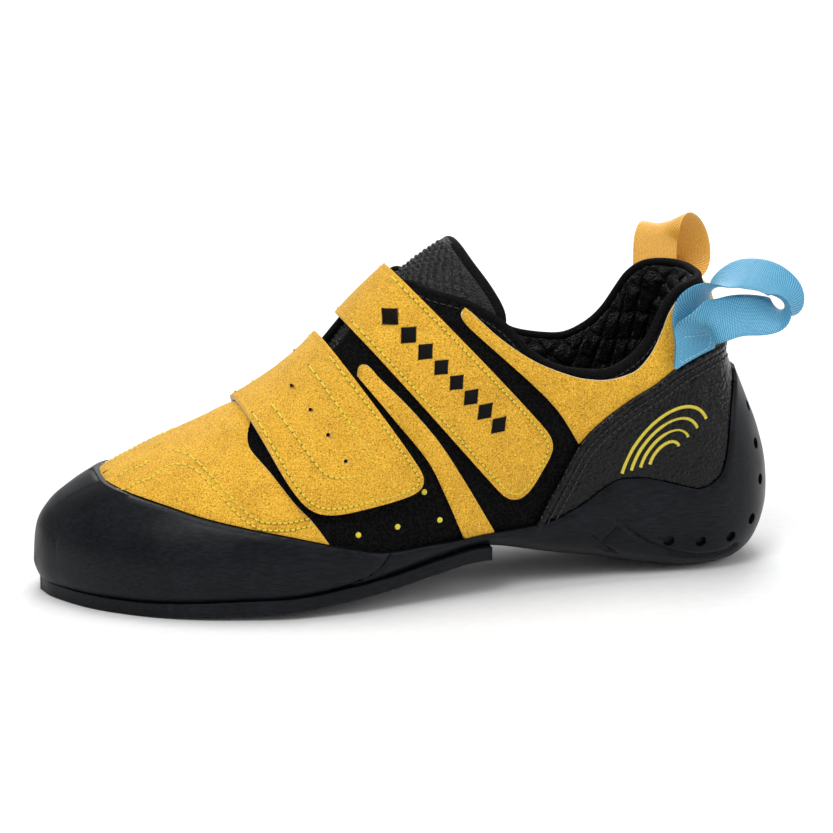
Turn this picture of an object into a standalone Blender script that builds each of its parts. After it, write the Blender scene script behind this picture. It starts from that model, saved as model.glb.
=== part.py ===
"""Left climbing shoe with two hook-and-loop straps, standing empty on its sole.

The toe points along -X, the outer side is at -Y and +Z is up. The origin is on the
heel's flat spot, on the floor. Every layer is made between two larger forms of one last.
"""

import math
from collections import namedtuple

import bmesh
import bpy
from mathutils import Vector
from mathutils.bvhtree import BVHTree

# Driving sizes, in metres
LENGTH = 0.250
BALL_WIDTH = 0.0835
INSTEP_HEIGHT = 0.100
ARCH_HEIGHT = 0.0125
HEEL_REACH = 0.022
HEEL_HALF_WIDTH = 0.031
WALL = 0.0020
SUEDE = 0.0012
LEATHER = 0.0014
RAND = 0.0025
STRAP = 0.0022
OUTSOLE = 0.0045
SOLE_EDGE = 0.0028
INSOLE = 0.0025
TONGUE = 0.0045
THROAT_WIDTH = 0.018
TURNED_IN = 0.009
TAPE_WIDTH = 0.0150
TAPE = 0.0010
HOLE_DIAMETER = 0.0039
HOLE_DEPTH = 0.0013
FLOOR_CUT = 0.0005
GAP = 0.0003

# Distances from the last to the faces of each layer
SKIN = WALL + GAP
SUEDE_OUT = SKIN + SUEDE
LEATHER_OUT = SKIN + LEATHER
RAND_OUT = SKIN + RAND
FRONT_STRAP_IN = SUEDE_OUT + GAP
TAPE_IN = LEATHER_OUT + GAP
PLY_STEP = TAPE + 3 * GAP

# Fineness of the meshes
STATIONS = 30
AROUND = 24
HOLE_SIDES = 8
LINE_STEPS = 2
TAPE_STEPS = 1
SPINE_STEPS = 200
FOOT_OPENING_RUNGS = 17
INSOLE_RUNGS = 25
OUTSOLE_RUNGS = 26
TREAD_STEPS = 24
BEYOND = 0.080
SKY = 1.8

Section = namedtuple("Section", "along sole tuck ridge outer inner waist lean crown edge")
# along: share of the last's length from its heel
# sole: height of the walking surface, share of ARCH_HEIGHT
# tuck: rise of the last's end above that, and ridge: height of its top, shares of INSTEP_HEIGHT
# outer, inner: reach to each side, and lean: the ridge's shift inwards, shares of BALL_WIDTH
# waist: height of the widest place, share of the section's height
# crown, edge: how square the section is above and below its widest place
SECTIONS = (
    Section(0.0000, 0.00, 0.205, 0.248, 0.000, 0.000, 0.50, 0.000, 2.0, 2.0),
    Section(0.0030, 0.00, 0.112, 0.345, 0.077, 0.077, 0.42, 0.000, 2.0, 2.0),
    Section(0.0146, 0.00, 0.060, 0.445, 0.156, 0.156, 0.37, 0.000, 2.0, 2.3),
    Section(0.0350, 0.00, 0.014, 0.565, 0.228, 0.226, 0.33, 0.000, 2.0, 2.8),
    Section(0.0600, 0.00, 0.000, 0.715, 0.273, 0.270, 0.28, 0.000, 2.1, 3.4),
    Section(0.0880, 0.00, 0.000, 0.960, 0.299, 0.297, 0.22, 0.000, 2.2, 4.0),
    Section(0.1200, 0.00, 0.000, 1.140, 0.311, 0.308, 0.18, 0.000, 2.3, 4.0),
    Section(0.1800, 0.18, 0.000, 1.270, 0.316, 0.310, 0.15, 0.000, 2.4, 4.0),
    Section(0.2550, 0.52, 0.000, 1.310, 0.329, 0.317, 0.13, 0.000, 2.4, 4.0),
    Section(0.3460, 0.80, 0.000, 1.240, 0.359, 0.335, 0.13, 0.010, 2.2, 4.5),
    Section(0.4290, 1.00, 0.000, 1.160, 0.401, 0.365, 0.13, 0.020, 2.0, 5.0),
    Section(0.5000, 0.80, 0.000, 1.050, 0.437, 0.401, 0.14, 0.030, 1.9, 5.5),
    Section(0.5625, 0.55, 0.000, 0.910, 0.469, 0.441, 0.16, 0.040, 1.9, 6.5),
    Section(0.6250, 0.38, 0.000, 0.735, 0.498, 0.477, 0.17, 0.050, 1.9, 7.0),
    Section(0.6955, 0.22, 0.000, 0.602, 0.505, 0.498, 0.19, 0.060, 2.0, 7.0),
    Section(0.7700, 0.16, 0.000, 0.512, 0.467, 0.493, 0.22, 0.060, 2.1, 7.0),
    Section(0.8410, 0.07, 0.000, 0.440, 0.395, 0.455, 0.25, 0.050, 2.2, 6.5),
    Section(0.9035, 0.00, 0.000, 0.374, 0.287, 0.389, 0.31, 0.035, 2.2, 6.0),
    Section(0.9490, 0.00, 0.000, 0.318, 0.174, 0.317, 0.34, 0.020, 2.2, 5.0),
    Section(0.9780, 0.00, 0.000, 0.268, 0.060, 0.249, 0.36, 0.010, 2.2, 4.0),
    Section(0.9940, 0.00, 0.006, 0.214, -0.030, 0.180, 0.38, 0.000, 2.1, 3.0),
    Section(1.0000, 0.00, 0.034, 0.102, -0.108, 0.108, 0.50, 0.000, 2.0, 2.0),
)

# Side view lines: shares of LENGTH from the heel's back, and of INSTEP_HEIGHT from the floor
COLLAR_LINE = (
    (0.066, 0.990), (0.111, 0.983), (0.145, 0.972), (0.167, 0.933), (0.182, 0.873),
    (0.198, 0.809), (0.221, 0.755), (0.261, 0.716), (0.316, 0.735), (0.359, 0.793),
    (0.394, 0.889), (0.445, 0.967), (0.488, 0.996), (0.513, 1.026),
)
QUARTER_TOP = (
    (0.056, 0.951), (0.111, 0.953), (0.146, 0.947), (0.166, 0.904), (0.179, 0.839),
    (0.196, 0.766), (0.222, 0.711), (0.258, 0.695), (0.287, 0.704), (0.346, 0.760),
    (0.400, 0.851), (0.437, 0.939),
)
QUARTER_FRONT = (
    (0.445, 0.955), (0.453, 0.933), (0.447, 0.906), (0.326, 0.606), (0.288, 0.448),
)
COUNTER_TOP = (
    (0.054, 0.779), (0.092, 0.775), (0.158, 0.722), (0.189, 0.672), (0.227, 0.623),
    (0.264, 0.565), (0.296, 0.495), (0.327, 0.370), (0.360, 0.224), (0.366, 0.184),
)
RAND_LINE = (
    (0.022, 0.684), (0.056, 0.658), (0.076, 0.543), (0.084, 0.420), (0.092, 0.354),
    (0.107, 0.318), (0.127, 0.302), (0.147, 0.314), (0.208, 0.356), (0.236, 0.359),
    (0.260, 0.336), (0.287, 0.291), (0.311, 0.262), (0.342, 0.234), (0.386, 0.221),
    (0.429, 0.215), (0.476, 0.206), (0.518, 0.205), (0.545, 0.201), (0.576, 0.204),
    (0.610, 0.224), (0.643, 0.244), (0.704, 0.282), (0.753, 0.306), (0.799, 0.329),
    (0.846, 0.357), (0.887, 0.375), (0.911, 0.386), (0.922, 0.400), (0.916, 0.425),
    (0.903, 0.449), (0.895, 0.493),
)
RAND_SEAM = (
    (0.556, 0.251), (0.565, 0.202), (0.584, 0.145), (0.606, 0.120), (0.650, 0.086),
)
VAMP_REAR = (
    (0.687, 0.708), (0.699, 0.630), (0.722, 0.574), (0.731, 0.528), (0.710, 0.456),
    (0.685, 0.371), (0.666, 0.319), (0.640, 0.224),
)
FRONT_STRAP = (
    (0.764, 0.849), (0.732, 0.650), (0.691, 0.424), (0.673, 0.370), (0.656, 0.350),
    (0.637, 0.347), (0.590, 0.363), (0.543, 0.384), (0.522, 0.404), (0.517, 0.440),
    (0.616, 0.822), (0.689, 1.104),
)
REAR_STRAP = (
    (0.668, 1.089), (0.597, 0.906), (0.417, 0.377), (0.402, 0.337), (0.386, 0.325),
    (0.373, 0.340), (0.349, 0.420), (0.334, 0.487), (0.336, 0.522), (0.532, 1.070),
    (0.601, 1.253),
)
STRIPE = (
    (0.588, 0.742), (0.585, 0.772), (0.575, 0.782), (0.566, 0.752), (0.535, 0.672),
    (0.494, 0.548), (0.387, 0.092), (0.429, 0.093), (0.508, 0.483), (0.548, 0.614),
)
TONGUE_SIDE = (
    (0.716, 0.760), (0.640, 0.560), (0.560, 0.640), (0.480, 0.760), (0.424, 0.800),
    (0.396, 0.900), (0.410, 0.985), (0.434, 1.080), (0.450, 1.170), (0.466, 1.260),
)
HEEL_HOLES = (
    (0.170, 0.131), (0.124, 0.119), (0.078, 0.120), (0.043, 0.164), (0.026, 0.289),
    (0.032, 0.412), (0.038, 0.533),
)
OUTSOLE_END = 0.420
FOREFOOT_RISE = (0.28, 0.42)
FOOT_OPENING = (0.075, 0.925)
THROAT_FRONT = 0.680
THROAT_BACK = 0.440
LATERAL = -1
MEDIAL = 1

# A tape's free folds: its middle, in the same shares and across in shares of BALL_WIDTH,
# and the direction of its width
Fold = namedtuple("Fold", "along across high run side rise")
LATERAL_PATCH = ((0.137, 0.735), (0.135, 0.790), (0.136, 0.835))
LATERAL_FOLDS = (
    Fold(0.137, 0.360, 0.866, 0.99, -0.04, -0.06),
    Fold(0.128, 0.398, 0.880, 0.93, -0.22, -0.22),
    Fold(0.107, 0.416, 0.891, 0.52, -0.56, -0.64),
    Fold(0.084, 0.408, 0.905, 0.30, -0.60, -0.74),
    Fold(0.057, 0.424, 0.900, 0.12, -0.66, -0.74),
    Fold(0.038, 0.438, 0.900, -0.24, -0.78, -0.58),
    Fold(0.026, 0.444, 0.915, -0.58, -0.72, -0.38),
    Fold(0.019, 0.428, 0.940, -0.72, -0.62, -0.30),
    Fold(0.018, 0.402, 0.971, -0.77, -0.56, -0.30),
    Fold(0.029, 0.371, 1.003, -0.75, -0.56, -0.34),
    Fold(0.049, 0.347, 1.024, -0.70, -0.58, -0.42),
    Fold(0.072, 0.325, 1.026, -0.68, -0.58, -0.45),
    Fold(0.098, 0.318, 1.001, -0.70, -0.58, -0.42),
    Fold(0.122, 0.330, 0.965, -0.92, -0.24, -0.26),
    Fold(0.140, 0.318, 0.920, -0.98, -0.08, -0.10),
)
MEDIAL_PATCH = ((0.121, 0.790), (0.121, 0.830), (0.120, 0.865))
MEDIAL_FOLDS = (
    Fold(0.124, 0.315, 0.900, 0.99, 0.08, 0.10),
    Fold(0.121, 0.335, 0.960, 0.97, 0.17, 0.17),
    Fold(0.118, 0.371, 1.020, 0.96, 0.18, 0.22),
    Fold(0.108, 0.391, 1.066, 0.94, 0.19, 0.28),
    Fold(0.091, 0.426, 1.078, 0.94, 0.19, 0.29),
    Fold(0.070, 0.467, 1.046, 0.94, 0.19, 0.28),
    Fold(0.056, 0.492, 0.986, 0.94, 0.19, 0.28),
    Fold(0.054, 0.486, 0.932, 0.94, 0.19, 0.27),
    Fold(0.066, 0.470, 0.900, 0.95, 0.14, 0.20),
    Fold(0.092, 0.455, 0.885, 0.98, 0.08, 0.12),
    Fold(0.116, 0.410, 0.875, 1.00, 0.03, 0.06),
)

for leftover in list(bpy.data.objects):
    bpy.data.objects.remove(leftover, do_unlink=True)


def new_collection(name):
    collection = bpy.data.collections.new(name)
    bpy.context.scene.collection.children.link(collection)
    return collection


PIECES = new_collection("climbing_shoe")
CUTTERS = new_collection("climbing_shoe_cutters")


def blend(low, high, share):
    return low + (high - low) * share


def eased(share):
    """Zero below 0, one above 1, and smooth between."""
    share = min(max(share, 0.0), 1.0)
    return share * share * (3.0 - 2.0 * share)


def slopes(values):
    """Slopes of a curve through evenly spaced values that never overshoots them."""
    steps = [after - before for before, after in zip(values, values[1:])]
    inner = [2.0 * a * b / (a + b) if a * b > 0 else 0.0 for a, b in zip(steps, steps[1:])]
    return [steps[0], *inner, steps[-1]]


def along_curve(values, place):
    """The value at a place on the curve through evenly spaced values."""
    index = min(int(place), len(values) - 2)
    t = place - index
    slope = slopes(values)
    start, end = values[index], values[index + 1]
    cubic = (2 * t**3 - 3 * t**2 + 1) * start + (t**3 - 2 * t**2 + t) * slope[index]
    return cubic + (3 * t**2 - 2 * t**3) * end + (t**3 - t**2) * slope[index + 1]


def flow(points, steps):
    """A smooth line through points."""
    columns = list(zip(*points))
    count = (len(points) - 1) * steps
    return [
        tuple(along_curve(column, number / steps) for column in columns)
        for number in range(count + 1)
    ]


def side(along, high):
    """A point of the side view, as x and z."""
    return HEEL_REACH - along * LENGTH, high * INSTEP_HEIGHT


def side_line(points):
    return [side(along, high) for along, high in flow(points, LINE_STEPS)]


def beside(line, distance):
    """The line moved to its left by a distance, seen from the outer side."""
    moved = []
    for number, (x, z) in enumerate(line):
        before = Vector(line[max(number - 1, 0)])
        after = Vector(line[min(number + 1, len(line) - 1)])
        run = (after - before).normalized()
        moved.append((x - run.y * distance, z + run.x * distance))
    return moved


def section_at(place):
    """The last's section at a place in the table, with its sizes in metres."""
    row = Section(*(along_curve(column, place) for column in zip(*SECTIONS)))
    x = HEEL_REACH - RAND_OUT - row.along * (LENGTH - 2 * RAND_OUT)
    heel_base = RAND_OUT - FLOOR_CUT
    toe_base = OUTSOLE + SKIN
    rise_start, rise_end = FOREFOOT_RISE
    risen = eased((row.along - rise_start) / (rise_end - rise_start))
    base = blend(heel_base, toe_base, risen)
    sole = row.sole * ARCH_HEIGHT
    low = base + sole + row.tuck * INSTEP_HEIGHT
    high = row.ridge * INSTEP_HEIGHT
    return {
        "x": x,
        "sole": sole,
        "board": base + sole,
        "low": low,
        "high": high,
        "waist": blend(low, high, row.waist),
        "outer": -row.outer * BALL_WIDTH,
        "inner": row.inner * BALL_WIDTH,
        "ridge": (row.inner - row.outer) * BALL_WIDTH / 2 + row.lean * BALL_WIDTH,
        "crown": row.crown,
        "edge": row.edge,
    }


def ring_point(cut, turn):
    """A point of a section: turn 0 is its outer side, a quarter its ridge, a half its inner."""
    angle = 2 * math.pi * turn
    above = turn <= 0.5
    power = 2.0 / (cut["crown"] if above else cut["edge"])
    across = abs(math.cos(angle)) ** power
    up = abs(math.sin(angle)) ** power
    middle = (cut["outer"] + cut["inner"]) / 2
    reach = (cut["inner"] - cut["outer"]) / 2
    toward = -1.0 if math.cos(angle) > 0 else 1.0
    y = middle + toward * reach * across
    if above:
        y += (cut["ridge"] - middle) * up
    end = cut["high"] if above else cut["low"]
    return Vector((cut["x"], y, blend(cut["waist"], end, up)))


def make_last():
    """The last's points and outward normals, and the faces that join them."""
    last_row = len(SECTIONS) - 1
    places = [last_row * number / STATIONS for number in range(1, STATIONS)]
    points = [ring_point(section_at(0.0), 0.25)]
    for place in places:
        cut = section_at(place)
        points += [ring_point(cut, number / AROUND) for number in range(AROUND)]
    points.append(ring_point(section_at(float(last_row)), 0.25))
    faces = []
    tip = len(points) - 1
    final = 1 + (len(places) - 1) * AROUND
    for number in range(AROUND):
        beyond = (number + 1) % AROUND
        faces.append((0, 1 + beyond, 1 + number))
        faces.append((tip, final + number, final + beyond))
        for ring in range(len(places) - 1):
            near = 1 + ring * AROUND
            far = near + AROUND
            faces.append((near + number, near + beyond, far + number))
            faces.append((near + beyond, far + beyond, far + number))
    normals = [Vector() for _ in points]
    for face in faces:
        a, b, c = (points[corner] for corner in face)
        area = (b - a).cross(c - a)
        for corner in face:
            normals[corner] += area
    return points, [normal.normalized() for normal in normals], faces


LAST_POINTS, LAST_NORMALS, LAST_FACES = make_last()
SPINE = [section_at((len(SECTIONS) - 1) * number / SPINE_STEPS)
         for number in range(SPINE_STEPS + 1)]


def spine_value(name, x):
    """One of the last's section values at x."""
    for before, after in zip(SPINE, SPINE[1:]):
        if after["x"] <= x:
            share = (before["x"] - x) / (before["x"] - after["x"])
            return blend(before[name], after[name], min(max(share, 0.0), 1.0))
    return SPINE[-1][name]


def mesh_object(name, points, faces, collection):
    mesh = bpy.data.meshes.new(name)
    mesh.from_pydata([tuple(point) for point in points], [], faces)
    solid = bpy.data.objects.new(name, mesh)
    collection.objects.link(solid)
    if collection is CUTTERS:
        solid.hide_render = True
        solid.display_type = "WIRE"
    return solid


def form_points(offset):
    return [point + normal * offset for point, normal in zip(LAST_POINTS, LAST_NORMALS)]


def form(name, offset, collection):
    """The last, made larger all round."""
    return mesh_object(name, form_points(offset), LAST_FACES, collection)


def shell(name, inside, outside):
    """The space between two larger lasts."""
    count = len(LAST_POINTS)
    inner_faces = [tuple(count + corner for corner in reversed(face)) for face in LAST_FACES]
    points = form_points(outside) + form_points(inside)
    return mesh_object(name, points, LAST_FACES + inner_faces, PIECES)


def prism(name, outline, low_y=-BEYOND, high_y=BEYOND):
    """A cutter with a side view outline, right through the shoe."""
    shape = bmesh.new()
    corners = [shape.verts.new((x, low_y, z)) for x, z in outline]
    face = shape.faces.new(corners)
    pushed = bmesh.ops.extrude_face_region(shape, geom=[face])
    moved = [item for item in pushed["geom"] if isinstance(item, bmesh.types.BMVert)]
    bmesh.ops.translate(shape, vec=(0, high_y - low_y, 0), verts=moved)
    bmesh.ops.recalc_face_normals(shape, faces=shape.faces)
    cutter = mesh_object(name, [], [], CUTTERS)
    shape.to_mesh(cutter.data)
    shape.free()
    return cutter


def bar(name, rungs, collection):
    """A bar along the shoe, from rungs of (x, outer y, inner y, low z, high z)."""
    points = []
    for x, outer, inner, low, high in rungs:
        points += [(x, outer, low), (x, inner, low), (x, inner, high), (x, outer, high)]
    faces = [(3, 2, 1, 0)]
    for number in range(len(rungs) - 1):
        near = 4 * number
        for corner in range(4):
            beyond = (corner + 1) % 4
            faces.append((near + corner, near + beyond, near + 4 + beyond, near + 4 + corner))
    end = 4 * (len(rungs) - 1)
    faces.append((end, end + 1, end + 2, end + 3))
    solid = mesh_object(name, points, faces, collection)
    shape = bmesh.new()
    shape.from_mesh(solid.data)
    bmesh.ops.recalc_face_normals(shape, faces=shape.faces)
    shape.to_mesh(solid.data)
    shape.free()
    return solid


def use(solid, cutter, operation):
    modifier = solid.modifiers.new(cutter.name, "BOOLEAN")
    modifier.operation = operation
    modifier.solver = "EXACT"
    modifier.object = cutter


def finish(solid, name, colour, roughness):
    material = bpy.data.materials.new(name)
    material.use_nodes = True
    shader = material.node_tree.nodes["Principled BSDF"]
    shader.inputs["Base Color"].default_value = (*colour, 1.0)
    shader.inputs["Roughness"].default_value = roughness
    shader.inputs["Metallic"].default_value = 0.0
    solid.data.materials.append(material)
    solid.data.shade_smooth()
    solid.data.set_sharp_from_angle(angle=math.radians(40))


SUEDE_YELLOW = (0.80, 0.44, 0.03)
TEXTILE_BLACK = (0.012, 0.012, 0.013)
RUBBER_BLACK = (0.014, 0.016, 0.019)
LEATHER_BLACK = (0.018, 0.018, 0.019)
TAPE_BLUE = (0.13, 0.52, 0.72)
TAPE_YELLOW = (0.75, 0.38, 0.04)
BOARD_GREY = (0.05, 0.05, 0.05)


def x_of(along):
    return HEEL_REACH - along * LENGTH


def sole_top(x):
    return spine_value("sole", x) + OUTSOLE


def plan_rails(offset):
    """The last's plan outline on each side, moved outwards."""
    rails = []
    for edge, way in (("outer", -1.0), ("inner", 1.0)):
        line = [Vector((cut["x"], cut[edge])) for cut in SPINE]
        rail = []
        for number, point in enumerate(line):
            before = line[max(number - 1, 0)]
            after = line[min(number + 1, len(line) - 1)]
            run = (after - before).normalized()
            rail.append(point + Vector((run.y, -run.x)) * offset * way)
        rails.append(rail)
    return rails


def rail_y(rail, x):
    for before, after in zip(rail, rail[1:]):
        if after.x <= x < before.x:
            return blend(before.y, after.y, (before.x - x) / (before.x - after.x))
    return rail[-1].y


def make_upper():
    """The hollow textile upper: open at the collar and throat, and under the foot."""
    upper = shell("upper", 0.0, WALL)
    above = side_line(COLLAR_LINE)
    heel_end, throat_end = COLLAR_LINE[0], COLLAR_LINE[-1]
    above = [side(-0.10, heel_end[1]), *above, side(throat_end[0], SKY), side(-0.10, SKY)]
    use(upper, prism("collar_opening", above), "DIFFERENCE")
    half = THROAT_WIDTH / 2
    rungs = []
    for along, share in ((THROAT_BACK, 1.0), (0.52, 1.0), (0.60, 0.95), (0.65, 0.8),
                         (THROAT_FRONT, 0.35)):
        x = x_of(along)
        ridge = spine_value("ridge", x)
        low = 0.5 * INSTEP_HEIGHT
        rungs.append((x, ridge - half * share, ridge + half * share, low, SKY * INSTEP_HEIGHT))
    use(upper, bar("throat_opening", rungs, CUTTERS), "DIFFERENCE")
    rungs = []
    for number in range(FOOT_OPENING_RUNGS):
        x = x_of(blend(*FOOT_OPENING, number / (FOOT_OPENING_RUNGS - 1)))
        outer = spine_value("outer", x) + TURNED_IN
        inner = spine_value("inner", x) - TURNED_IN
        top = spine_value("board", x) + 2 * WALL
        rungs.append((x, outer, inner, -INSTEP_HEIGHT, top))
    use(upper, bar("foot_opening", rungs, CUTTERS), "DIFFERENCE")
    finish(upper, "textile", TEXTILE_BLACK, 0.9)


def make_insole():
    insole = form("insole", -GAP, PIECES)
    rungs = []
    for number in range(INSOLE_RUNGS):
        x = x_of(blend(-0.02, 1.02, number / (INSOLE_RUNGS - 1)))
        board = spine_value("board", x)
        rungs.append((x, -BEYOND, BEYOND, board - INSTEP_HEIGHT, board + GAP + INSOLE))
    use(insole, bar("insole_slab", rungs, CUTTERS), "INTERSECT")
    finish(insole, "board", BOARD_GREY, 0.8)


def make_tongue():
    tongue = shell("tongue", -GAP - TONGUE, -GAP)
    use(tongue, prism("tongue_outline", side_line(TONGUE_SIDE)), "INTERSECT")
    finish(tongue, "padded_textile", TEXTILE_BLACK, 0.9)


def make_outsole():
    """The forefoot plate, flat under the toes and ending in a step at the arch."""
    outer_rail, inner_rail = plan_rails(SOLE_EDGE)
    back = x_of(OUTSOLE_END)
    tip = HEEL_REACH - LENGTH + RAND_OUT - SOLE_EDGE
    rungs = []
    for number in range(OUTSOLE_RUNGS):
        x = blend(back, tip, math.sin(math.pi / 2 * number / OUTSOLE_RUNGS))
        low = spine_value("sole", x)
        rungs.append((x, rail_y(outer_rail, x), rail_y(inner_rail, x), low, low + OUTSOLE))
    outsole = bar("outsole", rungs, PIECES)
    finish(outsole, "rubber", RUBBER_BLACK, 0.6)


def closed_over(line):
    """The region above a line that runs from heel to toe."""
    sky = SKY * INSTEP_HEIGHT
    behind, _ = side(-0.10, 0.0)
    before, _ = side(1.10, 0.0)
    return [(behind, line[0][1]), *line, (before, line[-1][1]), (before, sky), (behind, sky)]


def make_rands():
    """The toe rand and the moulded heel rand, which meet at a seam before the arch."""
    front_x = x_of(1.05)
    step_x = x_of(OUTSOLE_END) + GAP
    tread = [(x, sole_top(x) + GAP) for x in
             (blend(step_x, front_x, number / TREAD_STEPS) for number in range(TREAD_STEPS + 1))]
    outline = [side(-0.10, 0.0), (step_x, 0.0), *tread, side(1.05, 0.60),
               *reversed(side_line(RAND_LINE)), side(-0.10, RAND_LINE[0][1])]
    band = prism("rand_outline", outline)
    seam = side_line(RAND_SEAM)
    toe = shell("toe_rand", SKIN, RAND_OUT)
    use(toe, band, "INTERSECT")
    toe_side = [*beside(seam, -GAP / 2), side(1.10, 0.0), side(1.10, 0.80), side(0.55, 0.80)]
    use(toe, prism("toe_side", toe_side), "INTERSECT")
    finish(toe, "rubber_toe", RUBBER_BLACK, 0.6)
    heel = shell("heel_rand", SKIN, RAND_OUT)
    use(heel, band, "INTERSECT")
    heel_side = [*beside(seam, GAP / 2), side(0.655, -0.20), side(-0.10, -0.20),
                 side(-0.10, 0.90), side(0.55, 0.90)]
    use(heel, prism("heel_side", heel_side), "INTERSECT")
    use(heel, heel_hole_cutter(), "DIFFERENCE")
    finish(heel, "rubber_heel", RUBBER_BLACK, 0.55)


def surface(offset):
    return BVHTree.FromPolygons(form_points(offset), LAST_FACES)


def heel_hole_cutter():
    """Blind holes round the heel cup, alike on both sides."""
    outside = surface(RAND_OUT)
    shape = bmesh.new()
    for way in (LATERAL, MEDIAL):
        for along, high in HEEL_HOLES:
            x, z = side(along, high)
            x = min(x, HEEL_REACH - RAND_OUT)
            guess = Vector((x, way * HEEL_HALF_WIDTH, z))
            place, normal, _, _ = outside.find_nearest(guess)
            turn = normal.to_track_quat("Z", "Y").to_matrix().to_4x4()
            turn.translation = place + normal * (HOLE_DEPTH / 2)
            bmesh.ops.create_cone(
                shape, cap_ends=True, segments=HOLE_SIDES, radius1=HOLE_DIAMETER / 2,
                radius2=HOLE_DIAMETER / 2, depth=3 * HOLE_DEPTH, matrix=turn,
            )
    cutter = mesh_object("heel_holes", [], [], CUTTERS)
    shape.to_mesh(cutter.data)
    shape.free()
    return cutter


def make_panels():
    """The vamp, the side stripes, the rear quarter and the heel counter."""
    above_rand = prism("above_rand", closed_over(beside(side_line(RAND_LINE), -GAP)))
    vamp = shell("vamp_panel", SKIN, SUEDE_OUT)
    use(vamp, above_rand, "INTERSECT")
    vamp_side = [*side_line(VAMP_REAR), side(1.10, 0.10), side(1.10, 0.90)]
    use(vamp, prism("vamp_outline", vamp_side), "INTERSECT")
    finish(vamp, "suede_vamp", SUEDE_YELLOW, 0.9)

    for name, way in (("lateral_stripe", LATERAL), ("medial_stripe", MEDIAL)):
        stripe = shell(name, SKIN, SUEDE_OUT)
        ends = sorted((0.0, way * BEYOND))
        use(stripe, prism(name + "_outline", side_line(STRIPE), *ends), "INTERSECT")
        use(stripe, above_rand, "INTERSECT")
        finish(stripe, name + "_suede", SUEDE_YELLOW, 0.9)

    counter_top = side_line(COUNTER_TOP)
    quarter = shell("rear_quarter", SKIN, SUEDE_OUT)
    use(quarter, prism("above_counter", closed_over(counter_top)), "INTERSECT")
    outline = [side(-0.10, QUARTER_TOP[0][1]), *side_line(QUARTER_TOP), *side_line(QUARTER_FRONT),
               side(0.20, 0.30), side(-0.10, 0.30)]
    use(quarter, prism("quarter_outline", outline), "INTERSECT")
    finish(quarter, "suede_quarter", SUEDE_YELLOW, 0.9)

    counter = shell("heel_counter", SKIN, LEATHER_OUT)
    use(counter, above_rand, "INTERSECT")
    outline = [side(-0.10, COUNTER_TOP[0][1]), *beside(counter_top, GAP), side(-0.10, 0.0)]
    use(counter, prism("counter_outline", outline), "INTERSECT")
    finish(counter, "leather", LEATHER_BLACK, 0.45)


def make_straps():
    front = shell("front_strap", FRONT_STRAP_IN, FRONT_STRAP_IN + STRAP)
    use(front, prism("front_strap_outline", side_line(FRONT_STRAP)), "INTERSECT")
    finish(front, "suede_front_strap", SUEDE_YELLOW, 0.9)
    rear = shell("rear_strap", SKIN, SKIN + STRAP)
    use(rear, prism("rear_strap_outline", side_line(REAR_STRAP)), "INTERSECT")
    finish(rear, "suede_rear_strap", SUEDE_YELLOW, 0.9)


def tape_rows(patch, folds, way, back):
    """Middles and width directions of a tape: up the patch, round its folds and back down.

    back is 1 where the tape comes down over its start, and -1 where it comes down under it
    with its edges crossed over.
    """
    rows = []
    start, end = (0, 1) if back > 0 else (1, 0)
    for layer, places, turned in ((start, patch, 1), (end, patch[::-1], back)):
        offset = TAPE_IN + TAPE / 2 + layer * PLY_STEP
        skin = surface(offset)
        part = []
        for along, high in places:
            x, z = side(along, high)
            guess = Vector((x, way * HEEL_HALF_WIDTH, z))
            half = Vector((TAPE_WIDTH / 2, 0, 0))
            middle, ahead, behind = (
                skin.find_nearest(guess + shift)[0] for shift in (Vector(), half, -half)
            )
            part.append((middle, (ahead - behind).normalized() * turned))
        rows.append(part)
    free = []
    for fold in folds:
        x, z = side(fold.along, fold.high)
        place = Vector((x, way * fold.across * BALL_WIDTH, z))
        free.append((place, Vector((fold.run, -way * fold.side, fold.rise)).normalized()))
    return [*rows[0], *free, *rows[1]]


def make_tape(name, patch, folds, way, back, colour):
    rows = tape_rows(patch, folds, way, back)
    columns = list(zip(*([*place, *width] for place, width in rows)))
    count = (len(rows) - 1) * TAPE_STEPS
    smooth = [[along_curve(column, number / TAPE_STEPS) for column in columns]
              for number in range(count + 1)]
    points = []
    for number, row in enumerate(smooth):
        place, width = Vector(row[:3]), Vector(row[3:]).normalized()
        before = Vector(smooth[max(number - 1, 0)][:3])
        after = Vector(smooth[min(number + 1, count)][:3])
        run = (after - before).normalized()
        width = (width - run * width.dot(run)).normalized()
        thick = run.cross(width).normalized() * (TAPE / 2)
        half = width * (TAPE_WIDTH / 2)
        points += [place - half - thick, place + half - thick, place + half + thick,
                   place - half + thick]
    faces = [(3, 2, 1, 0)]
    for number in range(count):
        near = 4 * number
        for corner in range(4):
            beyond = (corner + 1) % 4
            faces.append((near + corner, near + beyond, near + 4 + beyond, near + 4 + corner))
    end = 4 * count
    faces.append((end, end + 1, end + 2, end + 3))
    tape = mesh_object(name, points, faces, PIECES)
    shape = bmesh.new()
    shape.from_mesh(tape.data)
    bmesh.ops.recalc_face_normals(shape, faces=shape.faces)
    shape.to_mesh(tape.data)
    shape.free()
    finish(tape, name + "_webbing", colour, 0.6)


def make_loops():
    make_tape("lateral_pull_loop", LATERAL_PATCH, LATERAL_FOLDS, LATERAL, -1, TAPE_BLUE)
    make_tape("medial_pull_loop", MEDIAL_PATCH, MEDIAL_FOLDS, MEDIAL, 1, TAPE_YELLOW)


make_upper()
make_insole()
make_tongue()
make_outsole()
make_rands()
make_panels()
make_straps()
make_loops()
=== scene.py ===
"""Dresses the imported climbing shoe: finishes, stitches, linings, webbing and the studio.

Every layer is made between two larger forms of the same last as the solids, in metres.
"""

import math
from collections import namedtuple

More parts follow.
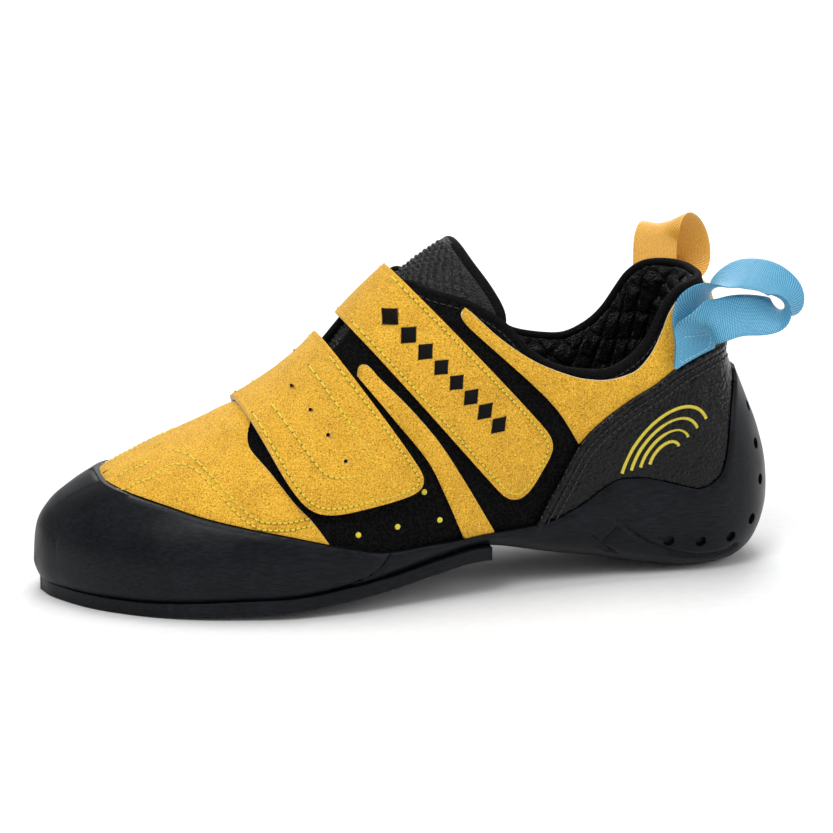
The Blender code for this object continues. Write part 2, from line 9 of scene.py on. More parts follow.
import bmesh
import bpy
import numpy as np
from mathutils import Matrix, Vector


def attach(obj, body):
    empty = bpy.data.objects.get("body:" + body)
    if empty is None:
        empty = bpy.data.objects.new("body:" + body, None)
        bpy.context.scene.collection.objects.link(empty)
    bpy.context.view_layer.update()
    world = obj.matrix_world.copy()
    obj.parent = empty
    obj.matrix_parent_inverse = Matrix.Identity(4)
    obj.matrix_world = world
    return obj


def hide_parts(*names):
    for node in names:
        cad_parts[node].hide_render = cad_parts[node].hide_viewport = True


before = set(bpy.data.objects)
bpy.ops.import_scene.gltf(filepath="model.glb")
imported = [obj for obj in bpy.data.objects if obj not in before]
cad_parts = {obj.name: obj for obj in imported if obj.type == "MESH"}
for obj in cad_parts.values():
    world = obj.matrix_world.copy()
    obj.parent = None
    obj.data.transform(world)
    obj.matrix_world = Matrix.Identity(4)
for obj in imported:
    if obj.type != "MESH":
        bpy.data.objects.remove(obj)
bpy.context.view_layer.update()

bl_info = {
    "name": "Climbing shoe dressing",
    "version": (1, 0, 0),
    "blender": (4, 5, 0),
    "location": "3D View > Sidebar > Shoe",
    "description": "Dresses a climbing shoe's solids with suede, rubber, mesh and stitches",
    "category": "Object",
}

# Sizes of the solids, in metres
LENGTH = 0.250
BALL_WIDTH = 0.0835
INSTEP_HEIGHT = 0.100
ARCH_HEIGHT = 0.0125
HEEL_REACH = 0.022
WALL = 0.0020
SUEDE = 0.0012
LEATHER = 0.0014
RAND = 0.0025
STRAP = 0.0022
OUTSOLE = 0.0045
SOLE_EDGE = 0.0028
TONGUE = 0.0045
THROAT_WIDTH = 0.018
TAPE_WIDTH = 0.0150
TAPE = 0.0010
HOLE_DIAMETER = 0.0039
FLOOR_CUT = 0.0005
GAP = 0.0003
SKIN = WALL + GAP
SUEDE_OUT = SKIN + SUEDE
LEATHER_OUT = SKIN + LEATHER
RAND_OUT = SKIN + RAND
FRONT_STRAP_IN = SUEDE_OUT + GAP
FRONT_STRAP_OUT = FRONT_STRAP_IN + STRAP
REAR_STRAP_OUT = SKIN + STRAP
TAPE_IN = LEATHER_OUT + GAP
PLY_STEP = TAPE + 3 * GAP
OUTER, INNER = -1, 1

# Clear of the shoe: a distance to its sides, shares of LENGTH behind the heel and before the
# toe, and a share of INSTEP_HEIGHT above the ankle
BEYOND = 0.080
BEHIND, BEFORE = -0.10, 1.10
SKY = 1.8

# How far back a heel hole's middle may lie
HOLE_LIMIT = 0.0195

# Sizes of the trimmings
BOARD = 0.0025
BINDING_WIDTH = 0.0027
TONGUE_BINDING = 0.0026
TONGUE_CELL = 0.0034
QUILT_PAD = 0.0098
QUILT_RISE = 0.0026
LINING_DEEP = 0.034
LINING_ALONG, LINING_DOWN = 0.00055, 0.0006
TACK_RADIUS = 0.00095
PINHOLE_RADIUS = 0.00075
STITCH_INSET = 0.0018
SATIN_RADIUS = 0.00026

Section = namedtuple("Section", "along sole tuck ridge outer inner waist lean crown edge")
# along: share of the last's length from its heel; sole: share of ARCH_HEIGHT;
# tuck, ridge: shares of INSTEP_HEIGHT; outer, inner, lean: shares of BALL_WIDTH;
# waist: height of the widest place, share of the section; crown, edge: squareness
SECTIONS = (
    Section(0.0000, 0.00, 0.205, 0.248, 0.000, 0.000, 0.50, 0.000, 2.0, 2.0),
    Section(0.0030, 0.00, 0.112, 0.345, 0.077, 0.077, 0.42, 0.000, 2.0, 2.0),
    Section(0.0146, 0.00, 0.060, 0.445, 0.156, 0.156, 0.37, 0.000, 2.0, 2.3),
    Section(0.0350, 0.00, 0.014, 0.565, 0.228, 0.226, 0.33, 0.000, 2.0, 2.8),
    Section(0.0600, 0.00, 0.000, 0.715, 0.273, 0.270, 0.28, 0.000, 2.1, 3.4),
    Section(0.0880, 0.00, 0.000, 0.960, 0.299, 0.297, 0.22, 0.000, 2.2, 4.0),
    Section(0.1200, 0.00, 0.000, 1.140, 0.311, 0.308, 0.18, 0.000, 2.3, 4.0),
    Section(0.1800, 0.18, 0.000, 1.270, 0.316, 0.310, 0.15, 0.000, 2.4, 4.0),
    Section(0.2550, 0.52, 0.000, 1.310, 0.329, 0.317, 0.13, 0.000, 2.4, 4.0),
    Section(0.3460, 0.80, 0.000, 1.240, 0.359, 0.335, 0.13, 0.010, 2.2, 4.5),
    Section(0.4290, 1.00, 0.000, 1.160, 0.401, 0.365, 0.13, 0.020, 2.0, 5.0),
    Section(0.5000, 0.80, 0.000, 1.050, 0.437, 0.401, 0.14, 0.030, 1.9, 5.5),
    Section(0.5625, 0.55, 0.000, 0.910, 0.469, 0.441, 0.16, 0.040, 1.9, 6.5),
    Section(0.6250, 0.38, 0.000, 0.735, 0.498, 0.477, 0.17, 0.050, 1.9, 7.0),
    Section(0.6955, 0.22, 0.000, 0.602, 0.505, 0.498, 0.19, 0.060, 2.0, 7.0),
    Section(0.7700, 0.16, 0.000, 0.512, 0.467, 0.493, 0.22, 0.060, 2.1, 7.0),
    Section(0.8410, 0.07, 0.000, 0.440, 0.395, 0.455, 0.25, 0.050, 2.2, 6.5),
    Section(0.9035, 0.00, 0.000, 0.374, 0.287, 0.389, 0.31, 0.035, 2.2, 6.0),
    Section(0.9490, 0.00, 0.000, 0.318, 0.174, 0.317, 0.34, 0.020, 2.2, 5.0),
    Section(0.9780, 0.00, 0.000, 0.268, 0.060, 0.249, 0.36, 0.010, 2.2, 4.0),
    Section(0.9940, 0.00, 0.006, 0.214, -0.030, 0.180, 0.38, 0.000, 2.1, 3.0),
    Section(1.0000, 0.00, 0.034, 0.102, -0.108, 0.108, 0.50, 0.000, 2.0, 2.0),
)

# Side view lines: shares of LENGTH from the heel's back, and of INSTEP_HEIGHT from the floor
COLLAR_LINE = (
    (0.066, 0.990), (0.111, 0.983), (0.145, 0.972), (0.167, 0.933), (0.182, 0.873),
    (0.198, 0.809), (0.221, 0.755), (0.261, 0.716), (0.316, 0.735), (0.359, 0.793),
    (0.394, 0.889), (0.445, 0.967), (0.488, 0.996), (0.513, 1.026),
)
QUARTER_TOP = (
    (0.056, 0.951), (0.111, 0.953), (0.146, 0.947), (0.166, 0.904), (0.179, 0.839),
    (0.196, 0.766), (0.222, 0.711), (0.258, 0.695), (0.287, 0.704), (0.346, 0.760),
    (0.400, 0.851), (0.437, 0.939),
)
QUARTER_FRONT = (
    (0.445, 0.955), (0.453, 0.933), (0.447, 0.906), (0.326, 0.606), (0.288, 0.448),
)
COUNTER_TOP = (
    (0.054, 0.779), (0.092, 0.775), (0.158, 0.722), (0.189, 0.672), (0.227, 0.623),
    (0.264, 0.565), (0.296, 0.495), (0.327, 0.370), (0.360, 0.224), (0.366, 0.184),
)
RAND_LINE = (
    (0.022, 0.684), (0.056, 0.658), (0.076, 0.543), (0.084, 0.420), (0.092, 0.354),
    (0.107, 0.318), (0.127, 0.302), (0.147, 0.314), (0.208, 0.356), (0.236, 0.359),
    (0.260, 0.336), (0.287, 0.291), (0.311, 0.262), (0.342, 0.234), (0.386, 0.221),
    (0.429, 0.215), (0.476, 0.206), (0.518, 0.205), (0.545, 0.201), (0.576, 0.204),
    (0.610, 0.224), (0.643, 0.244), (0.704, 0.282), (0.753, 0.306), (0.799, 0.329),
    (0.846, 0.357), (0.887, 0.375), (0.911, 0.386), (0.922, 0.400), (0.916, 0.425),
    (0.903, 0.449), (0.895, 0.493),
)
RAND_SEAM = (
    (0.556, 0.251), (0.565, 0.202), (0.584, 0.145), (0.606, 0.120), (0.650, 0.086),
)
VAMP_REAR = (
    (0.687, 0.708), (0.699, 0.630), (0.722, 0.574), (0.731, 0.528), (0.710, 0.456),
    (0.685, 0.371), (0.666, 0.319), (0.640, 0.224),
)
FRONT_STRAP = (
    (0.764, 0.849), (0.732, 0.650), (0.691, 0.424), (0.673, 0.370), (0.656, 0.350),
    (0.637, 0.347), (0.590, 0.363), (0.543, 0.384), (0.522, 0.404), (0.517, 0.440),
    (0.616, 0.822), (0.689, 1.104),
)
REAR_STRAP = (
    (0.668, 1.089), (0.597, 0.906), (0.417, 0.377), (0.402, 0.337), (0.386, 0.325),
    (0.373, 0.340), (0.349, 0.420), (0.334, 0.487), (0.336, 0.522), (0.532, 1.070),
    (0.601, 1.253),
)
STRIPE = (
    (0.588, 0.742), (0.585, 0.772), (0.575, 0.782), (0.566, 0.752), (0.535, 0.672),
    (0.494, 0.548), (0.387, 0.092), (0.429, 0.093), (0.508, 0.483), (0.548, 0.614),
)
TONGUE_SIDE = (
    (0.716, 0.760), (0.640, 0.560), (0.560, 0.640), (0.480, 0.760), (0.424, 0.800),
    (0.396, 0.900), (0.410, 0.985), (0.434, 1.080), (0.450, 1.170), (0.466, 1.260),
)
HEEL_HOLES = (
    (0.170, 0.131), (0.124, 0.119), (0.078, 0.120), (0.043, 0.164), (0.026, 0.289),
    (0.032, 0.412), (0.038, 0.533),
)
OUTSOLE_END = 0.420
THROAT_FRONT = 0.680
THROAT_BACK = 0.440

# A tape's free folds: its middle and the direction of its width
Fold = namedtuple("Fold", "along across high run side rise")
OUTER_PATCH = ((0.137, 0.700), (0.135, 0.790), (0.136, 0.835))
OUTER_FOLDS = (
    Fold(0.137, 0.360, 0.866, 0.99, -0.04, -0.06),
    Fold(0.128, 0.398, 0.880, 0.93, -0.22, -0.22),
    Fold(0.107, 0.416, 0.891, 0.52, -0.56, -0.64),
    Fold(0.084, 0.408, 0.905, 0.30, -0.60, -0.74),
    Fold(0.057, 0.424, 0.900, 0.12, -0.66, -0.74),
    Fold(0.038, 0.438, 0.900, -0.24, -0.78, -0.58),
    Fold(0.026, 0.444, 0.915, -0.58, -0.72, -0.38),
    Fold(0.019, 0.428, 0.940, -0.72, -0.62, -0.30),
    Fold(0.018, 0.402, 0.971, -0.77, -0.56, -0.30),
    Fold(0.029, 0.371, 1.003, -0.75, -0.56, -0.34),
    Fold(0.049, 0.347, 1.024, -0.70, -0.58, -0.42),
    Fold(0.072, 0.325, 1.026, -0.68, -0.58, -0.45),
    Fold(0.098, 0.318, 1.001, -0.70, -0.58, -0.42),
    Fold(0.122, 0.330, 0.965, -0.92, -0.24, -0.26),
    Fold(0.140, 0.318, 0.920, -0.98, -0.08, -0.10),
)
INNER_PATCH = ((0.121, 0.790), (0.121, 0.830), (0.120, 0.865))
INNER_FOLDS = (
    Fold(0.124, 0.315, 0.900, 0.99, 0.08, 0.10),
    Fold(0.121, 0.335, 0.960, 0.97, 0.17, 0.17),
    Fold(0.118, 0.371, 1.020, 0.96, 0.18, 0.22),
    Fold(0.108, 0.391, 1.066, 0.94, 0.19, 0.28),
    Fold(0.091, 0.426, 1.078, 0.94, 0.19, 0.29),
    Fold(0.070, 0.467, 1.046, 0.94, 0.19, 0.28),
    Fold(0.056, 0.492, 0.986, 0.94, 0.19, 0.28),
    Fold(0.054, 0.486, 0.932, 0.94, 0.19, 0.27),
    Fold(0.066, 0.470, 0.900, 0.95, 0.14, 0.20),
    Fold(0.092, 0.455, 0.885, 0.98, 0.08, 0.12),
    Fold(0.116, 0.410, 0.875, 1.00, 0.03, 0.06),
)


def blend(low, high, share):
    return low + (high - low) * share


def eased(share):
    """Zero below 0, one above 1, and smooth between."""
    share = np.clip(share, 0.0, 1.0)
    return share * share * (3.0 - 2.0 * share)


def along_curve(values, places):
    """Values at places on curves through evenly spaced rows, which never overshoot them."""
    values = np.asarray(values, float)
    places = np.atleast_1d(np.asarray(places, float))
    steps = np.diff(values, axis=0)
    slope = np.zeros_like(values)
    slope[0], slope[-1] = steps[0], steps[-1]
    product = steps[:-1] * steps[1:]
    total = steps[:-1] + steps[1:]
    safe = np.where(product > 0, total, 1.0)
    slope[1:-1] = np.where(product > 0, 2.0 * product / safe, 0.0)
    index = np.minimum(places.astype(int), len(values) - 2)
    t = (places - index).reshape((-1,) + (1,) * (values.ndim - 1))
    start, end = values[index], values[index + 1]
    cubic = (2 * t**3 - 3 * t**2 + 1) * start + (t**3 - 2 * t**2 + t) * slope[index]
    return cubic + (3 * t**2 - 2 * t**3) * end + (t**3 - t**2) * slope[index + 1]


def flow(points, steps):
    """A smooth line through points."""
    count = (len(points) - 1) * steps
    return along_curve(points, np.arange(count + 1) / steps)


def side(along, high):
    return HEEL_REACH - along * LENGTH, high * INSTEP_HEIGHT


def side_line(points, steps=8):
    """A smooth side view line, as rows of x and z."""
    line = flow(points, steps)
    return np.column_stack((HEEL_REACH - line[:, 0] * LENGTH, line[:, 1] * INSTEP_HEIGHT))


def beside(line, distance):
    """The line moved to its left by a distance, seen from the outer side."""
    run = np.gradient(line, axis=0)
    run /= np.linalg.norm(run, axis=1)[:, None]
    return line + np.column_stack((-run[:, 1], run[:, 0])) * distance


TABLE = np.array(SECTIONS)
LAST_ROW = len(SECTIONS) - 1
FINE = np.linspace(0.0, LAST_ROW, 4001)


def sections_at(places):
    """The last's sections: rows of x, sole, board, low, high, waist, outer, inner, ridge,
    crown and edge."""
    row = along_curve(TABLE, places)
    along, sole, tuck, ridge, outer, inner, waist, lean, crown, edge = row.T
    x = HEEL_REACH - RAND_OUT - along * (LENGTH - 2 * RAND_OUT)
    base = blend(RAND_OUT - FLOOR_CUT, OUTSOLE + SKIN, eased((along - 0.28) / 0.14))
    sole = sole * ARCH_HEIGHT
    low = base + sole + tuck * INSTEP_HEIGHT
    high = ridge * INSTEP_HEIGHT
    middle = (inner - outer) / 2 * BALL_WIDTH
    return np.column_stack((
        x, sole, base + sole, low, high, blend(low, high, waist), -outer * BALL_WIDTH,
        inner * BALL_WIDTH, middle + lean * BALL_WIDTH, crown, edge,
    ))


SPINE = sections_at(FINE)
COLUMNS = {name: number for number, name in enumerate(
    "x sole board low high waist outer inner ridge crown edge".split())}


def spine(name, x):
    return np.interp(-np.asarray(x), -SPINE[:, 0], SPINE[:, COLUMNS[name]])


def ring_points(cuts, turns):
    """Points of sections: turn 0 is the outer side, a quarter the ridge, a half the inner."""
    x, _, _, low, high, waist, outer, inner, ridge, crown, edge = cuts.T
    angle = 2 * np.pi * np.asarray(turns)
    cosine, sine = np.cos(angle), np.sin(angle)
    above = sine >= 0
    power = 2.0 / np.where(above, crown, edge)
    across = np.abs(cosine) ** power
    up = np.abs(sine) ** power
    middle, reach = (outer + inner) / 2, (inner - outer) / 2
    y = middle - np.sign(cosine) * reach * across + np.where(above, (ridge - middle) * up, 0.0)
    z = blend(waist, np.where(above, high, low), up)
    return np.column_stack((x, y, z))


class Last:
    """The last as a fine grid of points and normals, for part of its length."""

    def __init__(self, stations, around, first=0.0, last=float(LAST_ROW)):
        self.around = around
        self.heel = first <= 0.0
        self.toe = last >= LAST_ROW
        places = np.linspace(first, last, stations + 1)
        if self.heel:
            places = places[1:]
        if self.toe:
            places = places[:-1]
        self.places = places
        turns = np.arange(around) / around
        grid_places = np.repeat(places, around)
        grid_turns = np.tile(turns, len(places))
        self.points, self.normals = on_last(grid_places, grid_turns)
        self.rings = len(places)
        if self.heel:
            self.points = np.vstack((self.points, ring_points(sections_at([0.0]), [0.25])))
            self.normals = np.vstack((self.normals, [[1.0, 0.0, 0.0]]))
        if self.toe:
            tip = ring_points(sections_at([float(LAST_ROW)]), [0.25])
            self.points = np.vstack((self.points, tip))
            self.normals = np.vstack((self.normals, [[-1.0, 0.0, 0.0]]))

    def faces(self):
        around, rings = self.around, self.rings
        faces = []
        for ring in range(rings - 1):
            near, far = ring * around, (ring + 1) * around
            for number in range(around):
                after = (number + 1) % around
                faces.append((near + number, near + after, far + after, far + number))
        pole = rings * around
        if self.heel:
            faces += [(pole, (number + 1) % around, number) for number in range(around)]
            pole += 1
        if self.toe:
            end = (rings - 1) * around
            faces += [(pole, end + number, end + (number + 1) % around)
                      for number in range(around)]
        return faces

    def shell(self, inside, outside):
        """Points and faces of the closed space between two larger lasts."""
        outer = self.points + self.normals * outside
        inner = self.points + self.normals * inside
        count = len(outer)
        faces = self.faces()
        faces += [tuple(count + corner for corner in reversed(face)) for face in faces]
        around = self.around
        for open_end, start, way in ((not self.heel, 0, 1),
                                     (not self.toe, (self.rings - 1) * around, -1)):
            if not open_end:
                continue
            for number in range(around):
                a, b = start + number, start + (number + 1) % around
                wall = (a, count + a, count + b, b)
                faces.append(wall if way > 0 else wall[::-1])
        return np.vstack((outer, inner)), faces


def on_last(places, turns):
    """Points of the last and its outward normals."""
    places, turns = np.atleast_1d(places), np.atleast_1d(turns)
    step, twist = 0.01, 0.0008
    before = ring_points(sections_at(np.clip(places - step, 0, LAST_ROW)), turns)
    after = ring_points(sections_at(np.clip(places + step, 0, LAST_ROW)), turns)
    cuts = sections_at(places)
    back = ring_points(cuts, turns - twist)
    ahead = ring_points(cuts, turns + twist)
    normal = np.cross(ahead - back, after - before)
    length = np.linalg.norm(normal, axis=1)
    normal = normal / np.where(length > 0, length, 1.0)[:, None]
    return ring_points(cuts, turns), normal


def spots(line, way, offset):
    """Points and normals of a side view line on a larger last, and which are on it at all."""
    line = np.asarray(line, float)
    target = line.copy()
    seek = line.copy()
    for _ in range(8):
        x = np.clip(seek[:, 0], SPINE[-1, 0] + 1e-6, SPINE[0, 0] - 1e-6)
        places = np.interp(-x, -SPINE[:, 0], FINE)
        cuts = sections_at(places)
        low, high, waist, crown, edge = (cuts[:, COLUMNS[name]] for name in
                                         ("low", "high", "waist", "crown", "edge"))
        above = seek[:, 1] >= waist
        end = np.where(above, high, low)
        share = np.clip((seek[:, 1] - waist) / (end - waist), 0.0, 1.0)
        power = np.where(above, crown, edge) / 2.0
        turn = np.arcsin(share ** power) / (2 * np.pi) * np.where(above, 1.0, -1.0)
        turn = turn if way == OUTER else 0.5 - turn
        point, normal = on_last(places, turn)
        place = point + normal * offset
        miss = target - place[:, (0, 2)]
        seek = seek + miss * 0.9
    on_it = np.linalg.norm(miss, axis=1) < 0.0004
    return place, normal, on_it


# Meshes

PIECES = bpy.data.collections.new("climbing_shoe_dressing")
bpy.context.scene.collection.children.link(PIECES)


def mesh_object(name, points, faces):
    mesh = bpy.data.meshes.new(name)
    mesh.from_pydata([tuple(point) for point in points], [], faces)
    solid = bpy.data.objects.new(name, mesh)
    PIECES.objects.link(solid)
    return solid


def prism(name, outline, low_y=-BEYOND, high_y=BEYOND):
    """A cutter with a side view outline."""
    outline = [tuple(point) for point in outline]
    count = len(outline)
    points = [(x, low_y, z) for x, z in outline] + [(x, high_y, z) for x, z in outline]
    faces = [tuple(range(count)), tuple(range(2 * count - 1, count - 1, -1))]
    for number in range(count):
        after = (number + 1) % count
        faces.append((number, count + number, count + after, after))
    cutter = mesh_object(name, points, faces)
    right_way_out(cutter)
    return cutter


def right_way_out(solid):
    shape = bmesh.new()
    shape.from_mesh(solid.data)
    bmesh.ops.recalc_face_normals(shape, faces=shape.faces)
    shape.to_mesh(solid.data)
    shape.free()


def cut_by(solid, cutter, operation):
    modifier = solid.modifiers.new("cut", "BOOLEAN")
    modifier.operation = operation
    modifier.solver = "EXACT"
    modifier.object = cutter
    apply_all(solid)


def apply_all(solid):
    graph = bpy.context.evaluated_depsgraph_get()
    made = bpy.data.meshes.new_from_object(solid.evaluated_get(graph))
    solid.modifiers.clear()
    old = solid.data
    solid.data = made
    bpy.data.meshes.remove(old)


def remove(*solids):
    for solid in solids:
        mesh = solid.data
        bpy.data.objects.remove(solid, do_unlink=True)
        bpy.data.meshes.remove(mesh)


def layer(name, last, inside, outside, keep, drop=()):
    """A piece between two larger lasts, inside each outline to keep and outside the others."""
    points, faces = last.shell(inside, outside)
    solid = mesh_object(name, points, faces)
    for outline in keep:
        cutter = outline if isinstance(outline, bpy.types.Object) else prism("keep", outline)
        cut_by(solid, cutter, "INTERSECT")
        remove(cutter)
    for outline in drop:
        cutter = outline if isinstance(outline, bpy.types.Object) else prism("drop", outline)
        cut_by(solid, cutter, "DIFFERENCE")
        remove(cutter)
    if not solid.data.polygons:
        raise RuntimeError(name + " came out empty")
    return solid


def coordinates(mesh):
    values = np.empty(len(mesh.vertices) * 3)
    mesh.vertices.foreach_get("co", values)
    return values.reshape(-1, 3)


def line_distance(points, line):
    """Side view distance of points from a line."""
    starts, ends = line[:-1], line[1:]
    run = ends - starts
    length = (run ** 2).sum(1)
    best = np.full(len(points), 1.0)
    for start, along, size in zip(starts, run, length):
        share = np.clip(((points - start) @ along) / max(size, 1e-12), 0.0, 1.0)
        away = points - start - share[:, None] * along
        best = np.minimum(best, np.sqrt((away ** 2).sum(1)))
    return best


def depths(points):
    """Distance of points outside the last, and the last's normal there."""
    way = np.where(points[:, 1] > spine("ridge", points[:, 0]), INNER, OUTER)
    normals = np.zeros_like(points)
    depth = np.zeros(len(points))
    for value in (OUTER, INNER):
        chosen = way == value
        if not chosen.any():
            continue
        place, normal, _ = spots(points[chosen][:, (0, 2)], value, 0.0)
        for _ in range(3):
            depth_now = ((points[chosen] - place) * normal).sum(1)
            foot = points[chosen] - normal * depth_now[:, None]
            place, normal, _ = spots(foot[:, (0, 2)], value, 0.0)
        depth[chosen] = ((points[chosen] - place) * normal).sum(1)
        normals[chosen] = normal
    return depth, normals


def relief(solid, function):
    """Moves a piece's points along the last's normal by function(points, depth)."""
    points = coordinates(solid.data)
    depth, normals = depths(points)
    moved = points + normals * function(points, depth)[:, None]
    solid.data.vertices.foreach_set("co", moved.ravel())
    solid.data.update()


def soften(outlines, outside, width=0.0010, drop=0.00045):
    """A relief that rounds the outer edge of a layer down beside its outlines."""
    def lowered(points, depth):
        flat = points[:, (0, 2)]
        near = np.full(len(points), 1.0)
        for outline in outlines:
            near = np.minimum(near, line_distance(flat, np.asarray(outline)))
        share = np.clip(1.0 - near / width, 0.0, 1.0)
        outer = depth > outside - 0.0004
        return np.where(outer, -drop * share ** 2, 0.0)
    return lowered


def smooth(solid, degrees=38):
    solid.data.shade_smooth()
    solid.data.set_sharp_from_angle(angle=math.radians(degrees))


def settle(solid, slot, *nodes):
    """Rides on the shoe's one body and stands for its solids; its slot is not used."""
    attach(solid, "root")
    if nodes:
        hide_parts(*nodes)
    return solid


# Materials

def shader_material(name, **sockets):
    material = bpy.data.materials.new(name)
    material.use_nodes = True
    shader = material.node_tree.nodes["Principled BSDF"]
    for socket, value in sockets.items():
        shader.inputs[socket.replace("_", " ")].default_value = value
    return material, material.node_tree, shader


def node(tree, kind, **values):
    made = tree.nodes.new(kind)
    for name, value in values.items():
        if name in made.inputs:
            made.inputs[name].default_value = value
        else:
            setattr(made, name, value)
    return made


def coords(tree, kind="Object"):
    return tree.nodes.new("ShaderNodeTexCoord").outputs[kind]


def scaled(tree, vector, scale):
    mapping = node(tree, "ShaderNodeMapping")
    mapping.inputs["Scale"].default_value = scale
    tree.links.new(vector, mapping.inputs["Vector"])
    return mapping.outputs["Vector"]


def noise(tree, vector, size, detail=3.0, roughness=0.55):
    made = node(tree, "ShaderNodeTexNoise", Scale=1.0 / size, Detail=detail, Roughness=roughness)
    tree.links.new(vector, made.inputs["Vector"])
    return made.outputs["Fac"]


def cells(tree, vector, size, feature="F1"):
    made = node(tree, "ShaderNodeTexVoronoi", Scale=1.0 / size)
    made.feature = feature
    tree.links.new(vector, made.inputs["Vector"])
    return made.outputs["Distance"]


def ramp(tree, value, *stops):
    made = tree.nodes.new("ShaderNodeValToRGB")
    elements = made.color_ramp.elements
    while len(elements) < len(stops):
        elements.new(0.5)
    for element, (place, colour) in zip(elements, stops):
        element.position = place
        element.color = (*colour, 1.0)
    tree.links.new(value, made.inputs["Fac"])
    return made.outputs["Color"]


def mixed(tree, share, first, second, kind="MIX"):
    made = tree.nodes.new("ShaderNodeMix")
    made.data_type = "RGBA"
    made.blend_type = kind
    for socket, value in ((made.inputs[0], share), (made.inputs[6], first),
                          (made.inputs[7], second)):
        if isinstance(value, bpy.types.NodeSocket):
            tree.links.new(value, socket)
        elif isinstance(value, (int, float)):
            socket.default_value = value
        else:
            socket.default_value = (*value, 1.0)
    return made.outputs[2]


def maths(tree, operation, *values):
    made = tree.nodes.new("ShaderNodeMath")
    made.operation = operation
    for socket, value in zip(made.inputs, values):
        if isinstance(value, bpy.types.NodeSocket):
            tree.links.new(value, socket)
        else:
            socket.default_value = value
    return made.outputs[0]


def bump(tree, shader, height, strength, distance):
    made = node(tree, "ShaderNodeBump", Strength=strength, Distance=distance)
    tree.links.new(height, made.inputs["Height"])
    tree.links.new(made.outputs["Normal"], shader.inputs["Normal"])


def linear(red, green, blue):
    """An sRGB colour in bytes as linear shares."""
    shares = (value / 255 for value in (red, green, blue))
    return tuple(v / 12.92 if v <= 0.04045 else ((v + 0.055) / 1.055) ** 2.4 for v in shares)


def suede(name, colour):
    """Napped suede: fine speckle, soft patches where the nap lies another way."""
    material, tree, shader = shader_material(
        name, Roughness=0.95, Sheen_Weight=0.10, Sheen_Roughness=0.5, Specular_IOR_Level=0.12)
    place = coords(tree)
    speckle = noise(tree, place, 0.00052, 2.5, 0.8)
    patches = noise(tree, place, 0.010, 3.0, 0.6)
    fine = ramp(tree, speckle, (0.34, tuple(c * 0.32 for c in colour)), (0.47, colour),
                (0.55, colour), (0.68, tuple(min(c * 1.6 + 0.03, 1) for c in colour)))
    broad = ramp(tree, patches, (0.35, (0.92, 0.90, 0.88)), (0.65, (1.04, 1.04, 1.04)))
    tree.links.new(mixed(tree, 1.0, fine, broad, "MULTIPLY"), shader.inputs["Base Color"])
    nap = maths(tree, "ADD", speckle, noise(tree, place, 0.0009, 2.0))
    bump(tree, shader, nap, 0.55, 0.00022)
    return material


def raw_edge(name, colour):
    """The cut edge of suede, pale and fibrous."""
    material, tree, shader = shader_material(name, Roughness=0.95, Sheen_Weight=0.2)
    place = coords(tree)
    fibre = noise(tree, place, 0.0004, 3.0, 0.7)
    tone = ramp(tree, fibre, (0.3, tuple(c * 0.7 for c in colour)), (0.7, colour))
    tree.links.new(tone, shader.inputs["Base Color"])
    bump(tree, shader, fibre, 0.5, 0.0002)
    return material


def rubber(name):
    """Matte climbing rubber, with faint brushed streaks and dust."""
    material, tree, shader = shader_material(name, Specular_IOR_Level=0.13)
    place = coords(tree)
    streaks = noise(tree, scaled(tree, place, (0.25, 1.0, 1.6)), 0.0011, 3.0, 0.6)
    cloud = noise(tree, place, 0.016, 3.0, 0.6)
    dark, pale = linear(9, 10, 13), linear(24, 27, 32)
    tone = ramp(tree, streaks, (0.35, dark), (0.75, pale))
    dust = ramp(tree, cloud, (0.4, (0.85, 0.85, 0.86)), (0.75, (1.3, 1.3, 1.32)))
    tree.links.new(mixed(tree, 1.0, tone, dust, "MULTIPLY"), shader.inputs["Base Color"])
    gloss = ramp(tree, cloud, (0.3, (0.30, 0.30, 0.30)), (0.7, (0.46, 0.46, 0.46)))
    tree.links.new(gloss, shader.inputs["Roughness"])
    grain = maths(tree, "ADD", streaks, noise(tree, place, 0.0005, 2.0))
    bump(tree, shader, grain, 0.35, 0.00012)
    return material


def leather(name):
    """Black grained leather with satin highlights on its pebbles, partly from its gloss and partly
    painted: painted highlight on the pebbles' tops, painted shade between them.
    """
    material, tree, shader = shader_material(name, Specular_IOR_Level=0.19, Coat_Weight=0.02,
                                             Coat_Roughness=0.2)
    place = coords(tree)
    pebbles = cells(tree, place, 0.0011, "SMOOTH_F1")
    wrinkles = noise(tree, place, 0.004, 4.0, 0.6)
    # Painted highlight and painted shade: the pebbles' raised middles are painted lighter and the
    # hollows between them darker.
    tone = ramp(tree, pebbles, (0.1, linear(14, 14, 16)), (0.6, linear(4, 4, 5)))
    tree.links.new(tone, shader.inputs["Base Color"])
    gloss = ramp(tree, wrinkles, (0.35, (0.22, 0.22, 0.22)), (0.7, (0.38, 0.38, 0.38)))
    tree.links.new(gloss, shader.inputs["Roughness"])
    height = maths(tree, "SUBTRACT", maths(tree, "MULTIPLY", wrinkles, 0.8), pebbles)
    bump(tree, shader, height, 1.0, 0.0005)
    return material


